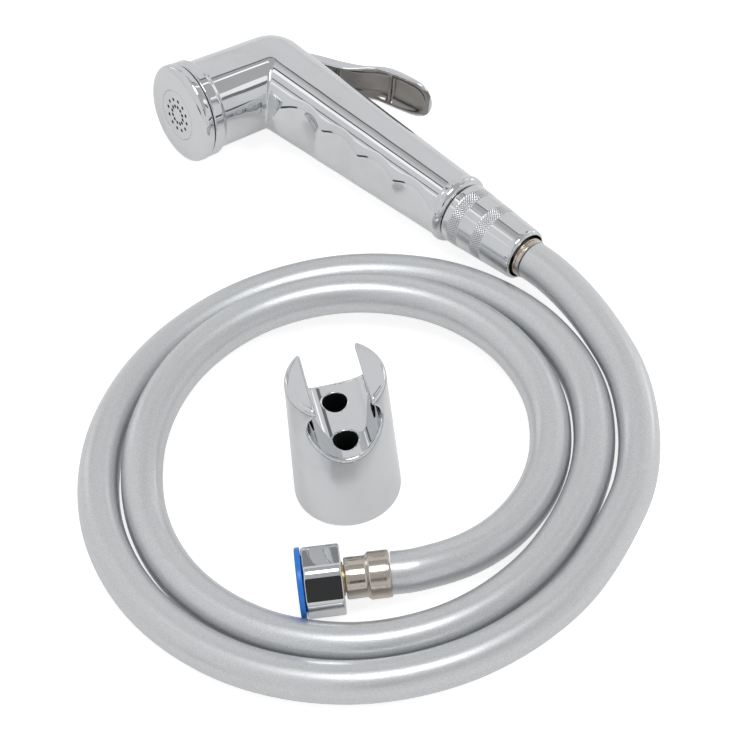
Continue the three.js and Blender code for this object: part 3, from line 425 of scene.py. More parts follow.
def tube(path, radius, sides):
    """Round tube along a path, closed at both ends. Gives points, faces and normals."""
    along = np.gradient(path, axis=0)
    along /= np.linalg.norm(along, axis=1, keepdims=True)
    side = np.cross(along[0], (0.0, 0.0, 1.0))
    side /= np.linalg.norm(side)
    angles = np.linspace(0, FULL_TURN, sides, endpoint=False)
    points, normals = [], []
    for centre, direction in zip(path, along):
        side = side - direction * (side @ direction)
        side /= np.linalg.norm(side)
        up = np.cross(side, direction)
        ring = np.cos(angles)[:, None] * side + np.sin(angles)[:, None] * up
        points.append(centre + radius * ring)
        normals.append(ring)
    rows = len(path)
    faces = [(row * sides + (i + 1) % sides, row * sides + i, (row + 1) * sides + i,
              (row + 1) * sides + (i + 1) % sides) for row in range(rows - 1) for i in range(sides)]
    faces.append(tuple(range(sides)))
    faces.append(tuple((rows - 1) * sides + i for i in reversed(range(sides))))
    return np.concatenate(points), faces, np.concatenate(normals)


def add_piece(name, shape, place, body, material, nodes=()):
    """Makes an object from points, faces and normals in millimetres and lets it ride on its body."""
    points, faces, normals = shape
    turned = np.array(place.to_3x3())
    points = points @ turned.T * MM + np.array(place.translation)
    mesh = bpy.data.meshes.new(name)
    mesh.from_pydata(points.tolist(), [], [tuple(int(i) for i in face) for face in faces])
    mesh.validate()
    mesh.shade_smooth()
    if normals is not None:
        mesh.normals_split_custom_set_from_vertices((normals @ turned.T).tolist())
    mesh.materials.append(material)
    piece = bpy.data.objects.new(name, mesh)
    bpy.context.scene.collection.objects.link(piece)
    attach(piece, body)
    if nodes:
        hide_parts(*nodes)
    return piece


# ---------------------------------------------------------------- finishes
def add_node(tree, kind, **values):
    """A shader node with its settings and socket values by name."""
    node = tree.nodes.new(kind)
    for name, value in values.items():
        if hasattr(node, name):
            setattr(node, name, value)
        else:
            node.inputs[name.replace("_", " ")].default_value = value
    return node


def ramp(tree, source, low, high, start=0.0, end=1.0):
    """A value that goes smoothly from start to end as its source goes from low to high."""
    node = add_node(tree, "ShaderNodeMapRange", interpolation_type="SMOOTHSTEP")
    for name, value in (("From Min", low), ("From Max", high), ("To Min", start), ("To Max", end)):
        node.inputs[name].default_value = value
    tree.links.new(source, node.inputs["Value"])
    return node.outputs["Result"]


def math_node(tree, operation, first, second=0.5):
    """One sum in a shader, of sockets or numbers."""
    node = add_node(tree, "ShaderNodeMath", operation=operation)
    for socket, value in zip(node.inputs, (first, second)):
        if isinstance(value, bpy.types.NodeSocket):
            tree.links.new(value, socket)
        else:
            socket.default_value = value
    return node.outputs[0]


def blended(tree, factor, first, second):
    """Colour between two colours, by a factor."""
    node = add_node(tree, "ShaderNodeMix", data_type="RGBA")
    tree.links.new(factor, node.inputs[0])
    for socket, value in zip((node.inputs[6], node.inputs[7]), (first, second)):
        if isinstance(value, bpy.types.NodeSocket):
            tree.links.new(value, socket)
        else:
            socket.default_value = (*value, 1)
    return node.outputs[2]


def noise(tree, place, scale, detail=2.0, roughness=0.5):
    node = add_node(tree, "ShaderNodeTexNoise", Scale=scale, Detail=detail, Roughness=roughness)
    tree.links.new(place, node.inputs["Vector"])
    return node.outputs[0]


def new_group(name, inputs, outputs):
    """An empty shader node group with named number inputs and number outputs."""
    group = bpy.data.node_groups.new(name, "ShaderNodeTree")
    for socket, default in inputs.items():
        entry = group.interface.new_socket(socket, in_out="INPUT", socket_type="NodeSocketFloat")
        entry.default_value = default
    for socket in outputs:
        group.interface.new_socket(socket, in_out="OUTPUT", socket_type="NodeSocketFloat")
    return group, group.nodes.new("NodeGroupInput"), group.nodes.new("NodeGroupOutput")


def scaled_place(group, source):
    """Object coordinates times a number, so that noise has that many grains to the metre."""
    place = group.nodes.new("ShaderNodeTexCoord")
    scale = add_node(group, "ShaderNodeVectorMath", operation="SCALE")
    group.links.new(place.outputs["Object"], scale.inputs[0])
    group.links.new(source, scale.inputs["Scale"])
    return scale.outputs[0]


def handling_group():
    """Faint smears and dull spots that hands leave on polished metal."""
    group, given, result = new_group("Handling marks", {"Smears per metre": 60, "Spots per metre": 900},
                                     ("Smear", "Spots"))
    smears = noise(group, scaled_place(group, given.outputs["Smears per metre"]), 1, detail=4, roughness=0.6)
    spots = noise(group, scaled_place(group, given.outputs["Spots per metre"]), 1)
    smear_starts, smear_full, spot_starts, spot_full = 0.45, 0.75, 0.62, 0.78
    group.links.new(ramp(group, smears, smear_starts, smear_full), result.inputs["Smear"])
    group.links.new(ramp(group, spots, spot_starts, spot_full), result.inputs["Spots"])
    return group


def casting_group():
    """Height of a plated casting: long soft waves that polishing leaves, and a very fine ripple."""
    group, given, result = new_group("Plated casting", {"Waves per metre": 45, "Ripples per metre": 420},
                                     ("Height",))
    ripple_share = 0.02
    waves = noise(group, scaled_place(group, given.outputs["Waves per metre"]), 1, detail=1, roughness=0.4)
    ripples = noise(group, scaled_place(group, given.outputs["Ripples per metre"]), 1, detail=1)
    height = math_node(group, "ADD", waves, math_node(group, "MULTIPLY", ripples, ripple_share))
    group.links.new(height, result.inputs["Height"])
    return group


def grain_group():
    """Fine matt grain of moulded rubber and plastic, and of the hose's lacquer."""
    group, given, result = new_group("Moulded grain", {"Grains per metre": 1500}, ("Height", "Shade"))
    shades_per_grain = 0.03
    grains = noise(group, scaled_place(group, given.outputs["Grains per metre"]), 1, detail=3, roughness=0.6)
    shades_per_metre = math_node(group, "MULTIPLY", given.outputs["Grains per metre"], shades_per_grain)
    shade = noise(group, scaled_place(group, shades_per_metre), 1, detail=3)
    group.links.new(grains, result.inputs["Height"])
    group.links.new(ramp(group, shade, 0.3, 0.7), result.inputs["Shade"])
    return group


def turning_group():
    """Fine parallel marks that a lathe tool leaves, with a slow change of shade across them."""
    group, given, result = new_group("Turning marks", {"Marks per metre": 2500}, ("Height", "Shade"))
    place = scaled_place(group, given.outputs["Marks per metre"])
    wave = add_node(group, "ShaderNodeTexWave", wave_type="BANDS", bands_direction="X", Scale=0.4,
                    Distortion=1.5, Detail=2.0)
    group.links.new(place, wave.inputs["Vector"])
    group.links.new(wave.outputs["Fac"], result.inputs["Height"])
    shades_per_mark = 0.02
    group.links.new(noise(group, place, shades_per_mark, detail=3, roughness=0.6), result.inputs["Shade"])
    return group


GROUPS = {"Handling marks": handling_group, "Plated casting": casting_group, "Moulded grain": grain_group,
          "Turning marks": turning_group}


def use_group(tree, name, **values):
    """Places a shared effect in a material, building it the first time."""
    node = tree.nodes.new("ShaderNodeGroup")
    node.node_tree = bpy.data.node_groups.get(name) or GROUPS[name]()
    for socket, value in values.items():
        node.inputs[socket.replace("_", " ")].default_value = value
    return node


def new_material(name, **sockets):
    """A material with one Principled BSDF, and the constants on its own sockets."""
    material = bpy.data.materials.new(name)
    material.use_nodes = True
    tree = material.node_tree
    shader = tree.nodes["Principled BSDF"]
    for socket, value in sockets.items():
        socket = socket.replace("_", " ")
        shader.inputs[socket].default_value = (*value, 1) if isinstance(value, tuple) else value
    return material, tree, shader


def add_bump(tree, shader, height, depth):
    """Bump from a height, whose full swing is depth in metres."""
    bump = add_node(tree, "ShaderNodeBump", Strength=1.0, Distance=depth)
    tree.links.new(height, bump.inputs["Height"])
    tree.links.new(bump.outputs["Normal"], shader.inputs["Normal"])


def plated(name, base, roughness, depth, waves=45.0, smear=0.05):
    """Bright plating over a casting or a turned piece."""
    material, tree, shader = new_material(name, Metallic=1.0)
    marks = use_group(tree, "Handling marks")
    casting = use_group(tree, "Plated casting", Waves_per_metre=waves)
    dulling = 0.94
    dulled = tuple(dulling * value for value in base)
    tree.links.new(blended(tree, marks.outputs["Smear"], base, dulled), shader.inputs["Base Color"])
    rough = math_node(tree, "MULTIPLY_ADD", marks.outputs["Smear"], smear)
    rough.node.inputs[2].default_value = roughness
    rougher = math_node(tree, "MULTIPLY_ADD", marks.outputs["Spots"], smear)
    tree.links.new(rough, rougher.node.inputs[2])
    tree.links.new(rougher, shader.inputs["Roughness"])
    add_bump(tree, shader, casting.outputs["Height"], depth)
    return material


def turned_metal(name, base, roughness, depth=0.00002):
    """Bare turned brass or steel."""
    material, tree, shader = new_material(name, Metallic=1.0)
    marks = use_group(tree, "Turning marks")
    darkening, roughening = 0.78, 0.12
    dark = tuple(darkening * value for value in base)
    tree.links.new(blended(tree, marks.outputs["Shade"], base, dark), shader.inputs["Base Color"])
    tree.links.new(ramp(tree, marks.outputs["Shade"], 0.2, 0.8, roughness, roughness + roughening),
                   shader.inputs["Roughness"])
    add_bump(tree, shader, marks.outputs["Height"], depth)
    return material


def moulded(name, base, roughness, grains=1500.0, depth=0.00003, **sockets):
    """Moulded rubber or plastic."""
    material, tree, shader = new_material(name, **sockets)
    grain = use_group(tree, "Moulded grain", Grains_per_metre=grains)
    lightening, veil, smoother, rougher = 1.18, 0.004, 0.06, 0.08
    lighter = tuple(min(1.0, lightening * value + veil) for value in base)
    tree.links.new(blended(tree, grain.outputs["Shade"], base, lighter), shader.inputs["Base Color"])
    tree.links.new(ramp(tree, grain.outputs["Height"], 0.3, 0.7, roughness - smoother, roughness + rougher),
                   shader.inputs["Roughness"])
    add_bump(tree, shader, grain.outputs["Height"], depth)
    return material


def hose_lacquer(colours):
    """Silver lacquer with fine flakes under a clear coat."""
    material, tree, shader = new_material("hose_lacquer", Coat_Weight=0.55, Coat_Roughness=0.12)
    flakes = use_group(tree, "Moulded grain", Grains_per_metre=3200)
    soft = use_group(tree, "Moulded grain", Grains_per_metre=1500)
    flake_share = ramp(tree, flakes.outputs["Height"], 0.4, 0.62)
    base = blended(tree, flake_share, tuple(colours.hose_deep), tuple(colours.hose_light))
    least_metal, most_metal = 0.74, 0.86
    smoothest, roughest = 0.32, 0.40
    tree.links.new(base, shader.inputs["Base Color"])
    tree.links.new(ramp(tree, flakes.outputs["Height"], 0.35, 0.65, least_metal, most_metal),
                   shader.inputs["Metallic"])
    tree.links.new(ramp(tree, soft.outputs["Height"], 0.3, 0.7, smoothest, roughest),
                   shader.inputs["Roughness"])
    add_bump(tree, shader, soft.outputs["Height"], 0.00002)
    return material


def finish(name):
    """The named finish, made the first time it is asked for."""
    made = bpy.data.materials.get(name)
    if made:
        return made
    colours = bpy.context.scene.sprayer_finish
    makers = {
        # base colour, roughness, then the height of the bump in metres or the grains to the metre
        "chrome_casting": lambda: plated(name, tuple(colours.chrome), 0.025, 0.00012),
        "chrome_turned": lambda: plated(name, tuple(colours.chrome), 0.03, 0.00004),
        # darker chrome: painted shade in the lever's hollow
        "shaded_lever_hollow": lambda: plated(name, tuple(colours.lever_hollow_shade), 0.17, 0.0004, waves=130, smear=0.1),
        "warm_nickel": lambda: plated(name, tuple(colours.nickel), 0.13, 0.00008, waves=120, smear=0.12),
        "hose_lacquer": lambda: hose_lacquer(colours),
        "turned_brass": lambda: turned_metal(name, tuple(colours.brass), 0.28),
        "drawn_steel": lambda: turned_metal(name, tuple(colours.steel), 0.22),
        "seal_rubber": lambda: moulded(name, tuple(colours.rubber), 0.62, 2200),
        # a darker copy of the chrome: painted shade in the knurl's grooves
        "knurl_groove_shade": lambda: plated(name, tuple(0.45 * value for value in colours.chrome), 0.12, 0.00004),
        # near black: painted shade in the spray holes and screw wells
        "painted_hole_shade": lambda: moulded(name, tuple(colours.hole_shade_colour), 0.9, 1800, Specular_IOR_Level=0.1),
        "blue_plastic": lambda: moulded(name, tuple(colours.blue), 0.36, 900, 0.00002),
        "white_plastic": lambda: moulded(name, tuple(colours.white), 0.42, 1200, 0.00002),
    }
    return makers[name]()


# ---------------------------------------------------------------- the handset
def head_direction(sizes):
    """Direction of the head's axis across the handset's own X and Y."""
    return math.cos(sizes.head_angle), -math.sin(sizes.head_angle)


def head_place(sizes):
    """The handset's frame turned so that X runs along the head."""
    return HANDSET @ Matrix.Rotation(-sizes.head_angle, 4, "Z")


def housing_distance(sizes):
    """Distance to the one-piece casting of handle and head."""
    head_x, head_y = head_direction(sizes)
    bisector = Vector((1 + head_x, head_y)).normalized()
    elbow_reach, elbow_blend = 8, 0.7
    head_overlap, collar_cone, collar_lip = 2, 0.62, 0.5
    bead_middle = sizes.handle_length - sizes.bead_length / 2
    groove_blend = 2.6
    lug_middle, lug_half, lug_foot = 3.3, 1.1, 1
    lug_reach = sizes.pin_radius + 1.3
    flat_start = sizes.pivot_x - lug_reach - 0.4
    pin_play, rod_play = 0.3, 0.4
    socket_floor, head_bore_floor = sizes.handle_length - sizes.socket_depth, sizes.collar_end - 17
    skirt_start, past_all = 31.4, 200

    def distance(p):
        x, y, z = p.T
        round_handle = np.hypot(y, z)
        along_head = x * head_x + y * head_y
        round_head = np.hypot(y * head_x - x * head_y, z)
        handle = ball_cone(x, round_handle, sizes.handle_length, sizes.elbow_radius, sizes.tail_radius)
        head = ball_cone(along_head, round_head, sizes.collar_start, sizes.elbow_radius, sizes.head_radius)
        handle = np.maximum(handle, x - bead_middle)
        head = np.maximum(head, along_head - sizes.collar_start - head_overlap)
        inner_side = np.clip((x * bisector.x + y * bisector.y) / elbow_reach, 0, 1)
        shape = smooth_min(handle, head, elbow_blend * inner_side**2)

        collar_back = sizes.collar_start - along_head + collar_cone * (round_head - sizes.head_radius)
        collar = smooth_max(round_head - sizes.collar_radius, 0.85 * collar_back, 0.8)
        collar = smooth_max(collar, along_head - sizes.collar_end - collar_lip, 0.6)
        shape = smooth_min(shape, collar, 0.4)
        bead_core = sizes.bead_radius - sizes.bead_length / 2
        bead = np.hypot(x - bead_middle, np.maximum(round_handle - bead_core, 0))
        shape = smooth_min(shape, bead - sizes.bead_length / 2, 0.6)

        for index in range(sizes.groove_count):
            middle = sizes.groove_first + index * sizes.groove_pitch
            taper = (sizes.tail_radius - sizes.elbow_radius) * middle / sizes.handle_length
            depth = sizes.groove_depth - index * sizes.groove_fade
            away = sizes.elbow_radius + taper - depth + sizes.groove_radius
            groove = np.hypot(x - middle, y + away) - sizes.groove_radius
            shape = smooth_max(shape, -groove, groove_blend)

        flat = smooth_max(sizes.recess_floor - y, flat_start - x, 1.2)
        flat = smooth_max(flat, x - sizes.recess_end, 2.4)
        shape = smooth_max(shape, -flat, 0.9)
        lug = np.hypot(x - sizes.pivot_x, np.maximum(y - sizes.pivot_height, 0)) - lug_reach
        lug = np.maximum(lug, sizes.recess_floor - lug_foot - y)
        lug = smooth_max(lug, np.abs(np.abs(z) - lug_middle) - lug_half, 0.5)
        shape = smooth_min(shape, lug, 0.5)

        bores = (
            cylinder(x, round_handle, sizes.handle_bore, 0, past_all),
            cylinder(x, round_handle, sizes.socket_radius, socket_floor, past_all),
            cylinder(along_head, round_head, sizes.handle_bore, 0, past_all),
            cylinder(along_head, round_head, sizes.head_bore, head_bore_floor, past_all),
            cylinder(along_head, round_head, sizes.skirt_bore, skirt_start, past_all),
            np.hypot(round_handle, x) - sizes.handle_bore,
        )
        shape = smooth_max(shape, -np.minimum.reduce(bores), 0.4)
        rod_hole = cylinder(y, np.hypot(x - sizes.rod_place, z), sizes.rod_radius + rod_play, 0, 20)
        pin_hole = np.hypot(x - sizes.pivot_x, y - sizes.pivot_height) - sizes.pin_radius - pin_play
        return smooth_max(shape, -np.minimum(rod_hole, pin_hole), 0.3)

    return distance


class SPRAYER_OT_housing(bpy.types.Operator):
    """Casts the handle, elbow and head in one piece, with its finger grooves and pivot lugs"""
    bl_idname = "sprayer.housing"
    bl_label = "Housing"

    def execute(self, context):
        sizes = context.scene.sprayer_handset
        low = (-sizes.head_radius - 8, -sizes.collar_end - 5, -sizes.collar_radius - 1)
        high = (sizes.handle_length + 1, sizes.pivot_height + 4, sizes.collar_radius + 1)
        grid_step = 0.62
        shape = skin(housing_distance(sizes), low, high, grid_step)
        add_piece("sprayer_housing", shape, HANDSET, "handset", finish("chrome_casting"),
                  ("housing",))
        return {"FINISHED"}


def cap_outline(sizes):
    """Skirt, thin rim and the pillowy front with its hole for the plate."""
    back, front, mouth = sizes.cap_start, sizes.cap_end, sizes.cap_mouth
    skirt_start, skirt_radius, skirt_inner, lip = back - 9, 16.6, 14.2, 2.2
    crown_deep, crown_wide = 2.9, 5.2
    crown = [(front - crown_deep + crown_deep * math.cos(angle),
              sizes.cap_radius - crown_wide + crown_wide * math.sin(angle))
             for angle in np.radians(np.linspace(90, 0, 20))]
    dish = 1.7
    dish_line = [(front - sunk, mouth + out)
                 for sunk, out in ((0, dish), (0.03, 0.8 * dish), (0.1, 0.5 * dish), (0.17, 0.2 * dish),
                                   (0.2, 0.05), (0.3, 0))]
    rim = back - 0.4
    outline = [(skirt_start, skirt_inner), (skirt_start, skirt_radius - 0.5),
               (skirt_start + 0.5, skirt_radius), (rim, skirt_radius), (rim, sizes.cap_radius - 0.5),
               (rim + 0.15, sizes.cap_radius - 0.15), (rim + 0.5, sizes.cap_radius), *crown, *dish_line,
               (front - lip, mouth), (front - lip, skirt_inner)]
    return np.array(outline)


class SPRAYER_OT_spray_cap(bpy.types.Operator):
    """Turns the screwed face cap of the head and the rubber seal behind it"""
    bl_idname = "sprayer.spray_cap"
    bl_label = "Spray cap and seal"

    def execute(self, context):
        sizes = context.scene.sprayer_handset
        place = head_place(sizes)
        add_piece("sprayer_spray_cap", lathe(cap_outline(sizes), 128), place, "handset",
                  finish("chrome_turned"), ("spray_cap",))
        squeeze, sunk = 0.3, 0.6
        start, end = sizes.collar_end + squeeze, sizes.cap_start - squeeze
        inner, outer = sizes.skirt_bore, sizes.collar_radius - sunk
        ring = rounded([(start, inner, 0), (start, outer, 0.3), (end, outer, 0.3), (end, inner, 0)])
        add_piece("sprayer_cap_seal", lathe(ring, 96), place, "handset",
                  finish("seal_rubber"), ("cap_seal",))
        return {"FINISHED"}


HOLES_ROUND = 12
HOLE_RINGS = (6.5, 3.7)


def hole_places():
    """Places of the spray holes across the head's axis."""
    angles = np.arange(HOLES_ROUND) * FULL_TURN / HOLES_ROUND
    return np.array([(ring * math.cos(angle), ring * math.sin(angle))
                     for ring in HOLE_RINGS for angle in angles])


def line_with(piece, place, chosen, name):
    """Gives the faces that chosen(x, y, z, normal) picks, in millimetres, another finish."""
    piece.data.materials.append(finish(name))
    back = place.inverted()
    turned = back.to_3x3()
    for face in piece.data.polygons:
        if chosen(*((back @ face.center) / MM), turned @ face.normal):
            face.material_index = len(piece.data.materials) - 1


def plate_distance(sizes):
    """Distance to the spray plate, with two rings of flared holes."""
    front = sizes.cap_end - 0.2
    flange_radius, flange_thick = 12.0, 1.4
    back = sizes.cap_end - 2.5 - flange_thick
    mouth_play, flare_deep, flare = 0.07, 0.45, 0.6

    def distance(p):
        x, y, z = p.T
        across = np.hypot(y, z)
        disc = smooth_max(across - sizes.cap_mouth + mouth_play, x - front, 0.1)
        flange = np.maximum(across - flange_radius, x - back - flange_thick)
        shape = smooth_max(np.minimum(disc, flange), back - x, 0.3)
        step = FULL_TURN / HOLES_ROUND
        angle = np.arctan2(z, y)
        angle = angle - step * np.round(angle / step)
        to_hole = np.minimum.reduce([np.hypot(across * np.cos(angle) - ring, across * np.sin(angle))
                                     for ring in HOLE_RINGS])
        mouth = np.maximum(x - front + flare_deep, 0) * flare
        return smooth_max(shape, sizes.spray_hole + mouth - to_hole, 0.25)

    return distance


class SPRAYER_OT_spray_plate(bpy.types.Operator):
    """Makes the perforated plate of the spray face"""
    bl_idname = "sprayer.spray_plate"
    bl_label = "Spray plate"

    def execute(self, context):
        sizes = context.scene.sprayer_handset
        reach, grid_step = 12.6, 0.17
        low = (sizes.cap_end - 4.6, -reach, -reach)
        high = (sizes.cap_end + 0.4, reach, reach)
        place = head_place(sizes)
        holes = hole_places()
        plate = add_piece("sprayer_spray_plate", skin(plate_distance(sizes), low, high, grid_step), place,
                          "handset", finish("chrome_turned"), ("spray_plate",))

        # Faces of the hole walls get the near-black finish: painted shade in the holes
        def in_hole(x, y, z, normal):
            near = np.min(np.hypot(y - holes[:, 0], z - holes[:, 1]))
            return near < sizes.spray_hole + grid_step and normal.x < 0.8

        line_with(plate, place, in_hole, "painted_hole_shade")
        return {"FINISHED"}


def lever_distance(sizes):
    """Distance to the thumb lever, from its pivot along its own length: a thin shell with a spoon tip."""
    root = sizes.pin_radius + 1.3
    shoulder = sizes.lever_length - sizes.lever_half_width
    wall = sizes.lever_wall
    crown = ((-4, 2.3), (0, 2.6), (7, 3.2), (16, 3.5), (23, 4.1), (28, 5.4), (32, 6.7), (36, 7.0),
             (41, 6.2), (47, 4.7), (52, 3.3), (56, 1.9))
    rim_line = ((-4, -2.6), (0, -2.6), (12, -2.6), (18, -2.2), (23, -0.2), (28, 2.2), (32, 2.9), (37, 2.5),
                (42, 1.9), (48, 1.2), (53, 0.4), (57, 0.1))
    half_width = ((-6, sizes.lever_root_half_width), (0, sizes.lever_root_half_width), (12, 7.15), (24, 7.75),
                  (34, sizes.lever_half_width), (60, sizes.lever_half_width))
    crossways = 0.5
    web_place, web_half, web_foot = 14.12, 1, -1
    rib_place, rib_half, rib_foot = 36.4, 0.55, 3.0
    slot_half, pin_play = 4.8, 0.3

    def distance(p):
        x, y, z = p.T
        top = through(x, crown) - crossways * (z / sizes.lever_half_width) ** 2
        rim = through(x, rim_line)
        spoon = np.hypot(x - shoulder, z) - sizes.lever_half_width
        plan = np.where(x > shoulder, spoon, np.abs(z) - through(x, half_width))
        outer = smooth_max(0.9 * (y - top), plan, 2.2)
        outer = smooth_max(outer, rim - y, 0.7)
        outer = smooth_max(outer, np.where(x < 0, np.hypot(x, y) - root, -root), 0.5)
        hollow = smooth_max(0.9 * (y - top + wall), plan + 0.75 * wall, 3.6)
        hollow = smooth_max(hollow, root - wall - x, 1.2)
        hollow = smooth_max(hollow, -np.maximum(np.abs(x - web_place) - web_half, web_foot - y), 1.0)
        hollow = smooth_max(hollow, -np.maximum(np.abs(x - rib_place) - rib_half, rib_foot - y), 1.0)
        shape = smooth_max(outer, -hollow, 0.6)
        slot = np.maximum(np.maximum(-6 - x, x - root - 1), np.abs(z) - slot_half)
        shape = smooth_max(shape, -slot, 0.5)
        return smooth_max(shape, sizes.pin_radius + pin_play - np.hypot(x, y), 0.3)

    return distance


class SPRAYER_OT_thumb_lever(bpy.types.Operator):
    """Makes the hollow thumb lever"""
    bl_idname = "sprayer.thumb_lever"
    bl_label = "Thumb lever"

    def execute(self, context):
        sizes = context.scene.sprayer_handset
        place = HANDSET @ Matrix.Translation(Vector((sizes.pivot_x, sizes.pivot_height, 0)) * MM)
        place = place @ Matrix.Rotation(sizes.lever_splay, 4, "Z")
        low = (-4, -4, -sizes.lever_half_width - 1)
        high = (sizes.lever_length + 1, 9, sizes.lever_half_width + 1)
        grid_step = 0.38
        lever = add_piece("sprayer_thumb_lever", skin(lever_distance(sizes), low, high, grid_step), place,
                          "lever", finish("chrome_casting"), ("thumb_lever",))
        rim_wide, tip_wide, middle_half = 0.7, 1.2, 6.2

        # Faces inside the lever's hollow get the darker chrome: painted shade under the lever
        def in_shell(x, y, z, normal):
            within = abs(z) < sizes.lever_half_width - rim_wide and 1 < x < sizes.lever_length - tip_wide
            return within and normal.y < 0.35 and (abs(z) < middle_half or normal.z * z < 0)

        line_with(lever, place, in_shell, "shaded_lever_hollow")
        return {"FINISHED"}


class SPRAYER_OT_lever_rods(bpy.types.Operator):
    """Turns the lever's pivot pin and the domed push rod under it"""
    bl_idname = "sprayer.lever_rods"
    bl_label = "Pivot pin and push rod"

    def execute(self, context):
        sizes = context.scene.sprayer_handset
        half = sizes.lever_root_half_width - 0.2
        radius = sizes.pin_radius
        pin = rounded([(-half, 0, 0), (-half, radius, 0.35), (half, radius, 0.35), (half, 0, 0)])
        place = HANDSET @ Matrix.Translation(Vector((sizes.pivot_x, sizes.pivot_height, 0)) * MM)
        add_piece("sprayer_lever_pin", lathe(pin, 32), place @ Matrix.Rotation(math.pi / 2, 4, "Y"),
                  "handset", finish("drawn_steel"), ("lever_pin",))
        low, high = node_span("push_rod", HANDSET, 1)
        radius = sizes.rod_radius
        rod = rounded([(low, 0, 0), (low, radius, 0.3), (high, radius, 1.2), (high, 0, 0)], 8)
        place = HANDSET @ Matrix.Translation(Vector((sizes.rod_place, 0, 0)) * MM)
        add_piece("sprayer_push_rod", lathe(rod, 40), place @ Matrix.Rotation(math.pi / 2, 4, "Z"), "plunger",
                  finish("drawn_steel"), ("push_rod",))
        return {"FINISHED"}


class SPRAYER_OT_valve_spring(bpy.types.Operator):
    """Winds the valve's spring"""
    bl_idname = "sprayer.valve_spring"
    bl_label = "Valve spring"

    def execute(self, context):
        wire, wire_sides, coils, steps = 0.3, 12, 2.5, 90
        low, high = node_span("valve_spring", HANDSET, 1)
        left, right = node_span("valve_spring", HANDSET, 0)
        middle, radius = (left + right) / 2, (right - left) / 2 - wire
        turns = math.pi / 2 + np.linspace(0, coils * FULL_TURN, steps)
        height = np.linspace(low + wire, high - wire, steps)
        path = np.stack((middle + radius * np.cos(turns), height, radius * np.sin(turns)), axis=1)
        spring = add_piece("sprayer_valve_spring", tube(path, wire, wire_sides), HANDSET, "handset",
                           finish("drawn_steel"), ("valve_spring",))
        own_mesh(spring)
        return {"FINISHED"}


def node_span(node, place, axis):
    """Lowest and highest place of a CAD node along one axis of a group's own frame, in millimetres."""
    mesh = frame["nodes"][node].data
    points = np.array([vertex.co for vertex in mesh.vertices], float).reshape(-1, 3)
    local = (points - np.array(place.translation)) @ np.array(place.to_3x3()) / MM
    return float(local[:, axis].min()), float(local[:, axis].max())


# ---------------------------------------------------------------- the hose and its ends
def coil_point(angle, radius, height):
    """A point of the hose's route: degrees round the coil's centre, radius, and height over where it lies."""
    centre_x, centre_y, lie = 5, 2, 8.1
    turned = math.radians(angle)
    return centre_x + radius * math.cos(turned), centre_y + radius * math.sin(turned), lie + height


HOSE_LEAD = 7.8
HOSE_ROUTE = (
    (38, 109.6, 4.7), (27, 106.5, 3.6), (15, 104.7, 2.1), (2, 102.2, 0.8), (-10, 100.2, 0.1),
    (-20, 98, 0), (-45, 96.2, 0), (-70, 95.9, 0), (-95, 96, 0), (-120, 96, 0),
    (-145, 95.8, 0), (-170, 95.4, 0), (-195, 95, 0), (-220, 94.8, 0), (-245, 94.8, 0),
    (-270, 95, 0), (-295, 94.8, 0), (-318, 93, 0), (-340, 89.8, 0),
    (-360, 85.6, 0), (-380, 81.8, 0), (-405, 79.9, 0), (-430, 79.8, 0), (-455, 79.9, 0),
    (-480, 79.9, 0), (-505, 79.6, 0), (-530, 79.2, 0.6), (-555, 79, 4.4), (-580, 79.4, 6.4),
    (-605, 79.8, 6.8), (-630, 79.6, 6.2), (-655, 79, 4.6), (-678, 77, 2.4), (-700, 73.6, 0.6),
    (-720, 69.6, 0), (-738, 66, 0.2), (-756, 62.4, 1), (-774, 59.4, 3),
)


def hose_path(sizes):
    """The hose's centre line in millimetres, from the handset's sleeve to the supply sleeve."""
    supply_end = sizes.supply_sleeve_start + sizes.supply_neck_length + sizes.supply_collar_length
    gap, spacing = 0.3, 2.6
    leaving = [HANDSET @ (Vector((sizes.sleeve_end + out, 0, 0)) * MM) / MM for out in (gap, HOSE_LEAD)]
    arriving = [SUPPLY @ (Vector((supply_end + out, 0, 0)) * MM) / MM for out in (HOSE_LEAD, gap)]
    return through_points([*leaving, *(coil_point(*row) for row in HOSE_ROUTE), *arriving], spacing)


class SPRAYER_OT_hose(bpy.types.Operator):
    """Lays the silver hose along its route between its two sleeves"""
    bl_idname = "sprayer.hose"
    bl_label = "Hose"

    def execute(self, context):
        sizes = context.scene.sprayer_hose
        path, sides = hose_path(sizes), 56
        hose = add_piece("sprayer_hose", tube(path, sizes.diameter / 2, sides), Matrix.Identity(4), "hose",
                         finish("hose_lacquer"), ("hose_tube",))
        return {"FINISHED"}


